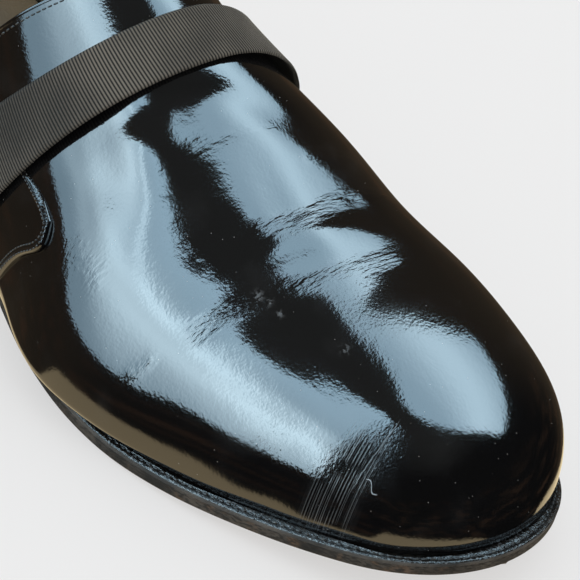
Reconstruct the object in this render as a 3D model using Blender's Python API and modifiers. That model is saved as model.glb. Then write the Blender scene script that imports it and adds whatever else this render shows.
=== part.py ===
"""Right-foot evening slip-on shoe: patent upper, ribbed band across the vamp, welted leather sole.

Lengths in the tables are millimetres.  Along the shoe a station runs from the heel to the toe, the toe
points to +X, the inner side of the foot is +Y and the floor is Z = 0.
"""
from collections import namedtuple
import math

import bmesh
import bpy
import numpy as np

MM = 0.001
FEATHER_TIP_Y = 6.0
FEATHER_TIP_LEAN = 2.5
LEAN_LENGTH = 45.0
LEAN_HEIGHT = 10.0
HEEL_CENTRE = 50.0
HEEL_BLEND = 60.0
HEEL_SOFTNESS = 8.0

OUTSOLE_THICKNESS = 2.8
OUTSOLE_BEVEL = 0.9
OUTSOLE_TOP_ROUND = 0.4
WELT_THICKNESS = 1.3
WELT_ROUND = 0.4
INSOLE_THICKNESS = 3.0
INSOLE_INSET = 4.2
UPPER_WALL = 2.0
FIT_GAP = 0.3
HEEL_BREAST = 74.0
HEEL_TAPER = 2.0
HEEL_TAPER_SPLIT = 1.4
HEEL_INSET = 0.7
TOP_PIECE_THICKNESS = 6.0

THROAT_PEAK = 142.5
THROAT_REACH_LATERAL = 21.0
THROAT_REACH_MEDIAL = 30.0
THROAT_POWER = 2.4
THROAT_BLEND = math.radians(5.0)

QUARTER_THICKNESS = 1.1
QUARTER_GAP = 0.6
QUARTER_FOOT = 4.4
QUARTER_BELOW_TOP = math.radians(1.6)
QUARTER_SPREAD = 1.6
QUARTER_SEAM = 0.0012
RIBBON_FRONT = 172.1
RIBBON_SWEEP = 22.0
RIBBON_BEND_LATERAL = 1.0
RIBBON_BEND_MEDIAL = 2.0
RIBBON_WIDTH_RIDGE = 14.2
RIBBON_WIDTH_SIDE = 20.6
RIBBON_THICKNESS = 1.0
RIBBON_STAND_OFF = 2 * QUARTER_GAP + QUARTER_THICKNESS
RIBBON_FOOT = 6.0
RIBBON_DROP = 1.35

HALF_COLUMNS = 34
THROAT_COLUMNS = 7
WALL_ROWS = 12
QUARTER_COLUMNS = 30
QUARTER_ROWS = 14
RIBBON_COLUMNS = 3
RIBBON_ROWS = 16
HEEL_COLUMNS = 15
LEAST_COLUMN = 0.008
SMALL_TURN = 1e-4
WELD = 0.00002

# One row per cross-section: feather half widths, how far the widest line stands outside the feather and
# how high it is above it (lateral, medial), ridge height over the floor, fullness and ridge shift.
Section = namedtuple(
    "Section", "station lateral medial over_lat over_med rise_lat rise_med ridge fullness shift")
SECTIONS = [
    Section(4.0, 0.0, 0.0, 1.6, 1.6, 27, 27, 118.0, 0.00, 0),
    Section(24.0, 27.6, 26.6, 2.2, 2.4, 27, 27, 118.0, 0.00, 0),
    Section(50.0, 32.4, 31.7, 2.6, 3.1, 27, 27, 117.0, 0.00, 0),
    Section(80.0, 31.7, 29.4, 3.8, 5.2, 26, 27, 114.0, 0.00, 0),
    Section(110.0, 32.7, 26.1, 5.8, 7.4, 24, 26, 109.0, 0.00, 0),
    Section(140.0, 37.4, 25.7, 8.2, 6.8, 18, 23, 91.6, -0.01, 0),
    Section(165.0, 42.6, 30.8, 9.6, 7.2, 11.5, 19, 81.1, -0.01, 2.4),
    Section(190.0, 46.0, 41.3, 14.0, 5.6, 8, 13, 68.5, 0.00, 8.6),
    Section(210.0, 47.4, 47.0, 9.8, 2.2, 6, 10.5, 60.5, 0.00, 10),
    Section(230.0, 44.9, 50.2, 4.7, 0.8, 4.2, 8, 54.5, 0.01, 11),
    Section(250.0, 37.3, 49.0, 2.6, 0.8, 3.6, 6, 50.0, 0.02, 9),
    Section(267.0, 28.4, 45.2, 1.8, 2.0, 3.6, 4.5, 45.5, 0.02, 6),
    Section(281.0, 20.0, 36.2, 2.2, 1.9, 3.6, 4, 38.5, 0.03, 3),
    Section(293.5, 0.0, 0.0, 0.0, 0.0, 0, 0, 0.0, 0.02, 0),
]
# Height of the outsole's underside: heel seat, waist, flat tread and toe spring.
Tread = namedtuple("Tread", "station height")
TREADS = [
    Tread(0.0, 20.5), Tread(40.0, 20.2), Tread(75.0, 19.2), Tread(105.0, 15.5), Tread(135.0, 8.6),
    Tread(160.0, 2.6), Tread(180.0, 0.0), Tread(212.0, 0.0), Tread(235.0, 1.1), Tread(260.0, 3.8),
    Tread(280.0, 7.2), Tread(300.0, 11.5),
]
# How far the trimmed sole edge stands outside the feather line.
Edge = namedtuple("Edge", "station lateral medial")
EDGES = [
    Edge(4.0, 3.6, 3.6), Edge(30.0, 3.2, 3.3), Edge(60.0, 3.0, 3.2), Edge(90.0, 2.8, 3.2),
    Edge(120.0, 2.8, 3.4), Edge(150.0, 3.6, 3.6), Edge(175.0, 5.4, 3.8), Edge(195.0, 7.0, 4.0),
    Edge(215.0, 6.4, 4.2), Edge(240.0, 5.4, 4.4), Edge(265.0, 6.1, 4.7), Edge(281.0, 5.9, 5.0),
    Edge(293.5, 6.0, 6.0),
]
# Height of the collar edge over the floor.
Collar = namedtuple("Collar", "station lateral medial")
COLLARS = [
    Collar(4.0, 80.0, 80.0), Collar(30.0, 75.0, 75.5), Collar(60.0, 66.5, 68.5),
    Collar(90.0, 62.0, 65.0), Collar(115.0, 61.5, 65.5), Collar(130.0, 62.0, 66.0),
]
# Front edge of a quarter from the welt up to the tip of its lobe, and its upper edge from the collar forward
# to that tip: station and section angle in degrees.
Brink = namedtuple("Brink", "station angle")
QUARTER_FRONT = [
    Brink(156.0, -24.0), Brink(164.0, -2.0), Brink(170.3, 12.2), Brink(175.3, 18.6), Brink(177.4, 22.6),
    Brink(175.6, 26.4),
]
QUARTER_TOP = [
    Brink(100.0, 60.0), Brink(114.0, 18.8), Brink(130.0, 20.0), Brink(148.0, 21.6), Brink(162.0, 24.0),
    Brink(175.6, 26.4),
]
MEDIAL_FRONT_SHIFT = -18.0


def column(rows, name):
    """One named column of a table as an array."""
    return np.array([getattr(row, name) for row in rows], float)


def spline(knots, values, at):
    """Natural cubic spline through the knots, read at the given places."""
    step = np.diff(knots)
    matrix = np.zeros((len(knots), len(knots)))
    right = np.zeros(len(knots))
    matrix[0, 0] = 1.0
    matrix[-1, -1] = 1.0
    for k in range(1, len(knots) - 1):
        matrix[k, k - 1:k + 2] = step[k - 1], 2 * (step[k - 1] + step[k]), step[k]
        right[k] = 6 * ((values[k + 1] - values[k]) / step[k] - (values[k] - values[k - 1]) / step[k - 1])
    bend = np.linalg.solve(matrix, right)
    k = np.clip(np.searchsorted(knots, at) - 1, 0, len(knots) - 2)
    a = (knots[k + 1] - at) / step[k]
    b = (at - knots[k]) / step[k]
    curve = ((a ** 3 - a) * bend[k] + (b ** 3 - b) * bend[k + 1]) * step[k] ** 2 / 6
    return a * values[k] + b * values[k + 1] + curve


def smooth(share):
    """Ease from 0 to 1 with level ends."""
    share = np.clip(share, 0, 1)
    return share * share * (3 - 2 * share)


def steady(knots, values, at):
    """Shape-keeping cubic through the knots: flat where two knots are level."""
    step = np.diff(knots)
    slope = np.diff(values) / step
    tangent = np.concatenate([slope[:1], np.zeros(len(knots) - 2), slope[-1:]])
    for k in range(1, len(knots) - 1):
        if slope[k - 1] * slope[k] > 0:
            first = 2 * step[k] + step[k - 1]
            second = step[k] + 2 * step[k - 1]
            tangent[k] = (first + second) / (first / slope[k - 1] + second / slope[k])
    at = np.clip(at, knots[0], knots[-1])
    k = np.clip(np.searchsorted(knots, at) - 1, 0, len(knots) - 2)
    s = (at - knots[k]) / step[k]
    ends = values[k] * (1 + 2 * s) * (1 - s) ** 2 + values[k + 1] * s * s * (3 - 2 * s)
    return ends + step[k] * (tangent[k] * s * (1 - s) ** 2 + tangent[k + 1] * s * s * (s - 1))


FEATHER_BACK = SECTIONS[0].station
FEATHER_LENGTH = SECTIONS[-1].station - FEATHER_BACK


def turn_of(station):
    """Place round the shoe for a station: 0 at the heel, 1 at the toe, spaced like a cosine."""
    share = np.clip((np.asarray(station, float) - FEATHER_BACK) / FEATHER_LENGTH, 0, 1)
    return np.arccos(1 - 2 * share) / np.pi


def station_of(turn):
    """Station for a place round the shoe; 1 to 2 runs back along the inner side."""
    return FEATHER_BACK + FEATHER_LENGTH * (1 - np.cos(np.pi * turn)) / 2


def loop(rows, lateral, medial, turn):
    """Closed smooth curve through both sides of a table, heel to toe and back."""
    knots = turn_of(column(rows, "station"))
    knots = np.concatenate([knots, 2 - knots[-2:0:-1]])
    values = np.concatenate([lateral, medial[-2:0:-1]])
    knots = np.concatenate([knots - 2, knots, knots + 2])
    return spline(knots, np.tile(values, 3), np.mod(turn, 2))


def tread_height(station):
    """Underside of the outsole over the floor."""
    return steady(column(TREADS, "station"), column(TREADS, "height"), station)


def feather_height(station):
    """Foot of the upper, resting on the outsole."""
    return tread_height(station) + OUTSOLE_THICKNESS + FIT_GAP


def feather_y(turn):
    """Side place of the feather line."""
    lateral = -column(SECTIONS, "lateral")
    lateral[-1] = FEATHER_TIP_Y
    return loop(SECTIONS, lateral, column(SECTIONS, "medial"), turn)


def overhang(turn):
    """How far the widest line of the upper stands outside the feather."""
    out = loop(SECTIONS, column(SECTIONS, "over_lat"), column(SECTIONS, "over_med"), turn)
    return np.maximum(out, 0)


Wall = namedtuple(
    "Wall", "station turn centre way foot_radius radius foot widest ridge fullness shift start")


def wall_at(turn):
    """Sizes of the upper's section at each place round the shoe."""
    turn = np.mod(np.asarray(turn, float), 2)
    near = np.where(turn > 1, 2 - turn, turn)
    station = station_of(turn)
    outer_lateral = feather_y(near) - overhang(near)
    outer_medial = feather_y(2 - near) + overhang(2 - near)
    blend = smooth((station - HEEL_CENTRE) / HEEL_BLEND)
    ahead = station - HEEL_CENTRE
    soft = HEEL_CENTRE + (ahead + np.sqrt(ahead ** 2 + HEEL_SOFTNESS ** 2)) / 2
    heel_turn = turn_of(HEEL_CENTRE)
    heel_y = (feather_y(heel_turn) + feather_y(2 - heel_turn)) / 2
    centre_x = soft * (1 - blend) + station * blend
    centre_y = heel_y * (1 - blend) + (outer_lateral + outer_medial) / 2 * blend
    centre = np.stack([centre_x, centre_y], -1)
    spoke = np.stack([station, feather_y(turn)], -1) - centre
    foot_radius = np.linalg.norm(spoke, axis=-1)
    side = np.stack([np.zeros_like(station), np.where(turn < 1, -1.0, 1.0)], -1)
    pole = foot_radius < 1e-6
    way = np.where(pole[..., None], side, spoke / np.where(pole, 1, foot_radius)[..., None])
    radius = foot_radius + overhang(turn)
    foot = feather_height(station)
    rise = np.maximum(loop(SECTIONS, column(SECTIONS, "rise_lat"), column(SECTIONS, "rise_med"), turn), 0)
    knots = turn_of(column(SECTIONS, "station"))
    ridges = column(SECTIONS, "ridge")
    ridges[-1] = feather_height(SECTIONS[-1].station)
    start = -np.arccos(np.clip(foot_radius / np.maximum(radius, 1e-9), 0, 1))
    return Wall(station, turn, centre, way, foot_radius, radius, foot, foot + rise,
                spline(knots, ridges, near), spline(knots, column(SECTIONS, "fullness"), near),
                spline(knots, column(SECTIONS, "shift"), near), start)


def upper_point(turn, angle):
    """Outer face of the upper: an elliptic section from the feather (below 0) to the ridge (90 degrees)."""
    w = wall_at(turn)
    full = np.where(angle > 0, w.fullness, 0)
    radius = w.radius * ((1 + full) * np.cos(angle) - full * np.cos(3 * angle))
    climb = (1 + full) * np.sin(angle) + full * np.sin(3 * angle)
    low = (w.widest - w.foot) / np.maximum(np.sin(-w.start), 1e-6)
    z = w.widest + np.where(angle > 0, (w.ridge - w.widest) * climb, low * np.sin(angle))
    xy = w.centre + w.way * radius[..., None]
    y = xy[..., 1] + w.shift * np.where(angle > 0, np.sin(angle) ** 2, 0)
    front = smooth(1 + (w.station - SECTIONS[-1].station) / LEAN_LENGTH)
    lift = np.maximum(z - w.foot, 0) / LEAN_HEIGHT
    x = xy[..., 0] + FEATHER_TIP_LEAN * front * lift * np.exp(1 - lift)
    return np.stack([x, y, z], -1)


def upper_offset(turn, angle, distance):
    """The same face moved outwards along its normal."""
    along = upper_point(turn + SMALL_TURN, angle) - upper_point(turn - SMALL_TURN, angle)
    over = upper_point(turn, angle + SMALL_TURN) - upper_point(turn, angle - SMALL_TURN)
    normal = np.cross(along, over)
    normal /= np.linalg.norm(normal, axis=-1, keepdims=True)
    return upper_point(turn, angle) + normal * distance


def angle_at_height(turn, height):
    """Section angle at which the wall reaches a height over the floor."""
    w = wall_at(turn)
    low = (w.widest - w.foot) / np.maximum(np.sin(-w.start), 1e-6)
    below = np.arcsin(np.clip((height - w.widest) / np.maximum(low, 1e-6), -1, 0))
    above = np.arcsin(np.clip((height - w.widest) / np.maximum(w.ridge - w.widest, 1e-6), 0, 1))
    return np.where(height < w.widest, np.maximum(below, w.start), above)


def collar_angle(turn):
    """Section angle of the collar edge along the sides and round the heel."""
    turn = np.mod(turn, 2)
    rows = column(COLLARS, "station")
    lateral = steady(rows, column(COLLARS, "lateral"), station_of(turn))
    medial = steady(rows, column(COLLARS, "medial"), station_of(turn))
    return angle_at_height(turn, np.where(turn < 1, lateral, medial))


def top_angle(turn):
    """Section angle at which the upper ends: the collar behind, the throat ahead, the ridge in the vamp."""
    turn = np.mod(turn, 2)
    station = station_of(turn)
    collar = collar_angle(turn)
    reach = np.where(turn < 1, THROAT_REACH_LATERAL, THROAT_REACH_MEDIAL)
    behind = np.clip((THROAT_PEAK - station) / reach, 0, 1)
    throat = np.arccos(behind ** (1 / THROAT_POWER))
    gap = throat - collar
    blended = (throat + collar + np.sqrt(gap ** 2 + THROAT_BLEND ** 2)) / 2
    return np.where(station >= THROAT_PEAK - 1e-6, np.pi / 2, np.minimum(blended, np.pi / 2))


def outline(turn, distance):
    """Feather line moved sideways by a distance, as plan points."""
    here = np.stack([station_of(turn), feather_y(turn)], -1)
    ahead = np.stack([station_of(turn + SMALL_TURN), feather_y(turn + SMALL_TURN)], -1)
    back = np.stack([station_of(turn - SMALL_TURN), feather_y(turn - SMALL_TURN)], -1)
    way = ahead - back
    way /= np.linalg.norm(way, axis=-1, keepdims=True)
    out = np.stack([way[:, 1], -way[:, 0]], -1)
    return here + out * np.asarray(distance, float)[..., None]


def edge_distance(turn):
    """How far the sole edge stands outside the feather."""
    return loop(EDGES, column(EDGES, "lateral"), column(EDGES, "medial"), turn)


HALF_TURNS = np.linspace(0, 1, HALF_COLUMNS)
ROUND_TURNS = np.concatenate([HALF_TURNS, 2 - HALF_TURNS[-2:0:-1]])


def upper_grid():
    """Points of the upper's outer face, one row of points up the wall for each place round the shoe."""
    behind = np.linspace(1, 0, THROAT_COLUMNS) ** THROAT_POWER
    throat = turn_of(THROAT_PEAK - THROAT_REACH_LATERAL * behind)
    keep = np.abs(HALF_TURNS[:, None] - throat[None]).min(axis=1) > LEAST_COLUMN
    half = np.sort(np.concatenate([HALF_TURNS[keep], throat]))
    turns = np.concatenate([half, 2 - half[-2:0:-1]])
    start = wall_at(turns).start
    share = np.linspace(0, 1, WALL_ROWS)
    angle = start[:, None] + (top_angle(turns) - start)[:, None] * share
    return upper_point(np.repeat(turns[:, None], WALL_ROWS, axis=1), angle)


UPPER_POINTS = upper_grid()
EDGE_POINTS = outline(ROUND_TURNS, edge_distance(ROUND_TURNS))
PLAN_POINTS = np.concatenate([EDGE_POINTS, UPPER_POINTS[..., :2].reshape(-1, 2)])
MIDDLE = (PLAN_POINTS.min(axis=0) + PLAN_POINTS.max(axis=0)) / 2


def clear_scene():
    """Empty the file of objects."""
    for item in list(bpy.data.objects):
        bpy.data.objects.remove(item, do_unlink=True)


def new_collection(name):
    """A collection of that name, linked to the scene."""
    collection = bpy.data.collections.new(name)
    bpy.context.scene.collection.children.link(collection)
    return collection


def material(name, colour, roughness, coat):
    """Plain Principled material."""
    made = bpy.data.materials.new(name)
    made.use_nodes = True
    shader = made.node_tree.nodes["Principled BSDF"]
    shader.inputs["Base Color"].default_value = (*colour, 1.0)
    shader.inputs["Roughness"].default_value = roughness
    shader.inputs["Metallic"].default_value = 0.0
    shader.inputs["Coat Weight"].default_value = coat
    made.diffuse_color = (*colour, 1.0)
    return made


def to_world(points):
    """Table millimetres to metres, centred over the floor."""
    moved = np.array(points, float)
    moved[..., :2] -= MIDDLE
    return moved * MM


def add_object(name, points, faces, collection, look):
    """Mesh object from points and faces, with meeting points joined."""
    mesh = bpy.data.meshes.new(name)
    mesh.from_pydata(to_world(points).reshape(-1, 3).tolist(), [], faces)
    work = bmesh.new()
    work.from_mesh(mesh)
    bmesh.ops.remove_doubles(work, verts=work.verts, dist=WELD)
    bmesh.ops.dissolve_degenerate(work, edges=work.edges, dist=WELD)
    work.to_mesh(mesh)
    work.free()
    mesh.materials.append(look)
    made = bpy.data.objects.new(name, mesh)
    collection.objects.link(made)
    return made


def grid_faces(rows, columns, closed):
    """Quads of a grid of points; closed joins the last row to the first."""
    faces = []
    for i in range(rows if closed else rows - 1):
        j = (i + 1) % rows
        for k in range(columns - 1):
            faces.append((i * columns + k, j * columns + k, j * columns + k + 1, i * columns + k + 1))
    return faces


def sheet(name, points, closed, thickness, inwards, collection, look):
    """Open grid given a wall by Solidify."""
    rows, columns = points.shape[:2]
    made = add_object(name, points, grid_faces(rows, columns, closed), collection, look)
    wall = made.modifiers.new("wall", "SOLIDIFY")
    wall.thickness = thickness * MM
    wall.offset = -1.0 if inwards else 1.0
    wall.use_even_offset = True
    wall.use_quality_normals = True
    return made


def loft(name, loops, collection, look):
    """Skin through closed cross-section loops that follow the length, with both ends closed."""
    rows, size = loops.shape[:2]
    faces = []
    for i in range(rows - 1):
        for k in range(size):
            n = (k + 1) % size
            faces.append((i * size + k, i * size + n, (i + 1) * size + n, (i + 1) * size + k))
    faces.append(tuple(range(size - 1, -1, -1)))
    faces.append(tuple((rows - 1) * size + k for k in range(size)))
    made = add_object(name, loops, faces, collection, look)
    work = bmesh.new()
    work.from_mesh(made.data)
    flat = [face for face in work.faces if face.calc_area() < 1e-12]
    bmesh.ops.delete(work, geom=flat, context="FACES_ONLY")
    bmesh.ops.recalc_face_normals(work, faces=work.faces)
    work.to_mesh(made.data)
    work.free()
    return made


def raised(plan, height):
    """Plan points lifted to a height."""
    return np.concatenate([plan, np.asarray(height, float)[:, None]], -1)


def cross_sections(turns, rings):
    """Loops across the shoe from (distance, height over the tread) rings listed from top to bottom."""
    lateral = []
    medial = []
    for distance, height in rings:
        for side, store in ((turns, lateral), (2 - turns, medial)):
            plan = outline(side, distance(side))
            store.append(raised(plan, tread_height(plan[:, 0]) + height))
    return np.stack(lateral + medial[::-1], axis=1)


def make_outsole(collection, look):
    """Leather plate with a bevelled lower edge."""
    rings = [
        (lambda t: edge_distance(t) - OUTSOLE_TOP_ROUND, OUTSOLE_THICKNESS),
        (edge_distance, OUTSOLE_THICKNESS - OUTSOLE_TOP_ROUND),
        (edge_distance, OUTSOLE_BEVEL),
        (lambda t: edge_distance(t) - OUTSOLE_BEVEL, 0.0),
    ]
    return loft("outsole", cross_sections(HALF_TURNS, rings), collection, look)


def welt_inner(turn):
    """Inner edge of the welt: clear of the upper up to the top of the welt."""
    station = station_of(turn)
    foot = feather_height(station)
    top = foot + WELT_THICKNESS + FIT_GAP
    reach = wall_at(turn)
    radius = reach.radius * np.cos(angle_at_height(turn, top))
    lean = FEATHER_TIP_LEAN * smooth(1 + (station - SECTIONS[-1].station) / LEAN_LENGTH)
    return radius - reach.foot_radius + FIT_GAP + lean / 2


def make_welt(collection, look):
    """Closed ring round the foot of the upper, on the outsole."""
    inner = welt_inner(ROUND_TURNS)
    outer = edge_distance(ROUND_TURNS)
    low = OUTSOLE_THICKNESS + FIT_GAP
    high = low + WELT_THICKNESS
    profile = [
        (inner, low), (outer, low), (outer, high - WELT_ROUND), (outer - WELT_ROUND, high), (inner, high)]
    rings = []
    for distance, height in profile + profile[:1]:
        plan = outline(ROUND_TURNS, distance)
        rings.append(raised(plan, tread_height(plan[:, 0]) + height))
    points = np.stack(rings, axis=1)
    return add_object("welt", points, grid_faces(len(ROUND_TURNS), len(rings), True), collection, look)


def make_insole(collection, look):
    """Board inside the foot of the upper."""
    low = OUTSOLE_THICKNESS + FIT_GAP
    inset = lambda t: np.full(np.shape(t), -INSOLE_INSET)
    rings = [(inset, low + INSOLE_THICKNESS), (inset, low)]
    return loft("insole", cross_sections(HALF_TURNS, rings), collection, look)


def heel_loops(low, high, follow, inset_low, inset_high):
    """Cross-section loops of a heel layer back from the breast; follow puts the top under the outsole."""
    breast = turn_of(HEEL_BREAST)
    turns = np.linspace(0, breast, HEEL_COLUMNS)
    stacks = []
    for side in (turns, 2 - turns):
        top = outline(side, edge_distance(side) - inset_high)
        bottom = outline(side, edge_distance(side) - inset_low)
        for plan in (top, bottom):
            plan[-1, 0] = HEEL_BREAST
        under = tread_height(top[:, 0]) - FIT_GAP if follow else np.full(len(top), high)
        stacks.append((raised(top, under), raised(bottom, np.full(len(bottom), low))))
    (top_l, low_l), (top_m, low_m) = stacks
    return np.stack([top_l, low_l, low_m, top_m], axis=1)


def make_heel(collection, stack_look, rubber_look):
    """Leather stack and the rubber piece under it."""
    middle = HEEL_INSET + HEEL_TAPER_SPLIT
    stack = heel_loops(TOP_PIECE_THICKNESS + FIT_GAP, 0.0, True, middle, HEEL_INSET)
    loft("heel", stack, collection, stack_look)
    piece = heel_loops(0.0, TOP_PIECE_THICKNESS, False, HEEL_INSET + HEEL_TAPER, middle)
    loft("heel_top_piece", piece, collection, rubber_look)


def make_upper(collection, look):
    """Hollow shell from the feather to the collar; both halves join along the ridge of the vamp."""
    return sheet("upper", UPPER_POINTS, True, UPPER_WALL, True, collection, look)


def make_quarter(name, medial, collection, look):
    """Panel lapped over the vamp, with the rounded front edge, back to the heel seam."""
    share = np.linspace(0, 1, QUARTER_ROWS)
    rows = np.linspace(0, 1, len(QUARTER_FRONT))
    shift = MEDIAL_FRONT_SHIFT if medial else 0.0
    front_station = spline(rows, column(QUARTER_FRONT, "station"), share) + shift
    front_angle = np.radians(spline(rows, column(QUARTER_FRONT, "angle"), share))
    seam = turn_of(FEATHER_BACK + QUARTER_SEAM)
    back = np.linspace(0, 1, QUARTER_COLUMNS)[:, None]
    front_turn = turn_of(front_station)[None]
    turn = front_turn + (seam - front_turn) * back
    turn = 2 - turn if medial else turn
    foot = angle_at_height(turn, feather_height(station_of(turn)) + QUARTER_FOOT)
    brow = steady(column(QUARTER_TOP, "station"), column(QUARTER_TOP, "angle"), station_of(turn) - shift)
    top = np.minimum(collar_angle(turn) - QUARTER_BELOW_TOP, np.radians(brow))
    spread = smooth(back * QUARTER_SPREAD)
    level = np.clip(front_angle, foot, top) * (1 - spread) + (foot + (top - foot) * share) * spread
    level[:, 0] = foot[:, 0]
    level[:, -1] = top[:, -1]
    points = upper_offset(turn, level, QUARTER_GAP)
    points = points[::-1] if not medial else points
    return sheet(name, points, False, QUARTER_THICKNESS, False, collection, look)


def make_ribbon(collection, look):
    """Band laid over the vamp from one side of the sole to the other."""
    across = np.linspace(0, 1, RIBBON_COLUMNS)[None]
    share = np.linspace(0, 1, RIBBON_ROWS)[:, None]
    strips = []
    for medial in (False, True):
        bend = RIBBON_BEND_MEDIAL if medial else RIBBON_BEND_LATERAL
        station = RIBBON_FRONT - RIBBON_SWEEP * RIBBON_DROP ** bend - RIBBON_WIDTH_SIDE * across
        turn = 2 - turn_of(station) if medial else turn_of(station)
        foot = angle_at_height(turn, feather_height(station) + RIBBON_FOOT)
        level = foot + (math.pi / 2 - foot) * share
        narrowing = (RIBBON_WIDTH_SIDE - RIBBON_WIDTH_RIDGE) * np.maximum(np.sin(level), 0)
        sweep = RIBBON_SWEEP * (1 - np.sin(level)) ** bend
        station = RIBBON_FRONT - sweep - (RIBBON_WIDTH_SIDE - narrowing) * across
        turn = 2 - turn_of(station) if medial else turn_of(station)
        strip = upper_offset(turn, level, RIBBON_STAND_OFF)
        strips.append(strip[::-1] if medial else strip[:-1])
    return sheet("ribbon", np.concatenate(strips), False, RIBBON_THICKNESS, False, collection, look)


clear_scene()
shoe = new_collection("tuxedo_loafer")
PATENT_COLOUR = (0.006, 0.006, 0.007)
PATENT_ROUGHNESS = 0.08
patent = material("patent_leather", PATENT_COLOUR, PATENT_ROUGHNESS, 1.0)
lateral_patent = material("quarter_lateral_patent", PATENT_COLOUR, PATENT_ROUGHNESS, 1.0)
medial_patent = material("quarter_medial_patent", PATENT_COLOUR, PATENT_ROUGHNESS, 1.0)
grosgrain = material("grosgrain", (0.055, 0.055, 0.052), 0.75, 0.0)
welt_leather = material("welt_leather", (0.016, 0.014, 0.012), 0.35, 0.2)
sole_leather = material("sole_leather", (0.090, 0.062, 0.040), 0.60, 0.0)
heel_leather = material("heel_leather", (0.030, 0.022, 0.016), 0.45, 0.1)
heel_rubber = material("heel_rubber", (0.018, 0.018, 0.018), 0.70, 0.0)
lining_leather = material("lining_leather", (0.230, 0.170, 0.090), 0.60, 0.0)

make_outsole(shoe, sole_leather)
make_welt(shoe, welt_leather)
make_heel(shoe, heel_leather, heel_rubber)
make_insole(shoe, lining_leather)
make_upper(shoe, patent)
make_quarter("quarter_lateral", False, shoe, lateral_patent)
make_quarter("quarter_medial", True, shoe, medial_patent)
make_ribbon(shoe, grosgrain)
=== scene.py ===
"""Looks of a right-foot evening slip-on shoe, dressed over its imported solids.

Tables and shape functions are in millimetres in the shoe's own frame: a station runs from heel to toe, y from
the outer to the inner side of the foot, and z up from the floor.  Meshes are in metres.
"""

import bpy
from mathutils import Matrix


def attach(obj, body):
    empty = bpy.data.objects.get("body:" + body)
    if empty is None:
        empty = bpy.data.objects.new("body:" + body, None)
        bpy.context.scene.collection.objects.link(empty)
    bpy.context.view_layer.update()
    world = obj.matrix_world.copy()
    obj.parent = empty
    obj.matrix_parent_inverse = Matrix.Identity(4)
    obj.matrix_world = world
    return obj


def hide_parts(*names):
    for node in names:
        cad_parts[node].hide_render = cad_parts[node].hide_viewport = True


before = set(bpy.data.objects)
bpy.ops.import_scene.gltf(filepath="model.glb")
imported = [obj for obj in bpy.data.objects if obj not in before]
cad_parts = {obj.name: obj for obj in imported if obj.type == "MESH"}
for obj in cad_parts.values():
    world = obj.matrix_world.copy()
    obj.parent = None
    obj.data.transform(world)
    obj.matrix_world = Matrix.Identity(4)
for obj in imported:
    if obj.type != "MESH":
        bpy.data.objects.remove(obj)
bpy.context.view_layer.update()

from collections import namedtuple
import math

import bmesh
import bpy
from mathutils import Matrix
import numpy as np

# Outsole: one plate of sole leather cut to the outline of the last, blackened on its trimmed edge and worn
# brown by walking.  It is stitched to the welt, rises at the waist and springs at the toe.
MM = 0.001
PLAN_MIDDLE = (149.95, -2.599)
FEATHER_TIP_Y = 6.0
SMALL_TURN = 1e-4
OUTSOLE_THICKNESS = 2.8
OUTSOLE_BEVEL = 0.9
OUTSOLE_TOP_ROUND = 0.12
FIT_GAP = 0.3
OUTSOLE_TOP = OUTSOLE_THICKNESS + FIT_GAP / 2

# One row per cross-section of the last: feather half widths, how far the widest line stands outside the
# feather and how high it is above it (lateral, medial), ridge height over the floor, fullness, ridge shift.
Section = namedtuple(
    "Section", "station lateral medial over_lat over_med rise_lat rise_med ridge fullness shift")
SECTIONS = [
    Section(4.0, 0.0, 0.0, 1.6, 1.6, 27, 27, 118.0, 0.00, 0),
    Section(24.0, 27.6, 26.6, 2.2, 2.4, 27, 27, 118.0, 0.00, 0),
    Section(50.0, 32.4, 31.7, 2.6, 3.1, 27, 27, 117.0, 0.00, 0),
    Section(80.0, 31.7, 29.4, 3.8, 5.2, 26, 27, 114.0, 0.00, 0),
    Section(110.0, 32.7, 26.1, 5.8, 7.4, 24, 26, 109.0, 0.00, 0),
    Section(140.0, 37.4, 25.7, 8.2, 6.8, 18, 23, 91.6, -0.01, 0),
    Section(165.0, 42.6, 30.8, 9.6, 7.2, 11.5, 19, 81.1, -0.01, 2.4),
    Section(190.0, 46.0, 41.3, 14.0, 5.6, 8, 13, 68.5, 0.00, 8.6),
    Section(210.0, 47.4, 47.0, 9.8, 2.2, 6, 10.5, 60.5, 0.00, 10),
    Section(230.0, 44.9, 50.2, 4.7, 0.8, 4.2, 8, 54.5, 0.01, 11),
    Section(250.0, 37.3, 49.0, 2.6, 0.8, 3.6, 6, 50.0, 0.02, 9),
    Section(267.0, 28.4, 45.2, 1.8, 2.0, 3.6, 4.5, 45.5, 0.02, 6),
    Section(281.0, 20.0, 36.2, 2.2, 1.9, 3.6, 4, 38.5, 0.03, 3),
    Section(293.5, 0.0, 0.0, 0.0, 0.0, 0, 0, 0.0, 0.02, 0),
]
# Height of the outsole's underside: heel seat, waist, flat tread and toe spring.
Tread = namedtuple("Tread", "station height")
TREADS = [
    Tread(0.0, 20.5), Tread(40.0, 20.2), Tread(75.0, 19.2), Tread(105.0, 15.5), Tread(135.0, 8.6),
    Tread(160.0, 2.6), Tread(180.0, 0.0), Tread(212.0, 0.0), Tread(235.0, 1.1), Tread(260.0, 3.8),
    Tread(280.0, 7.2), Tread(300.0, 11.5),
]
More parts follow.
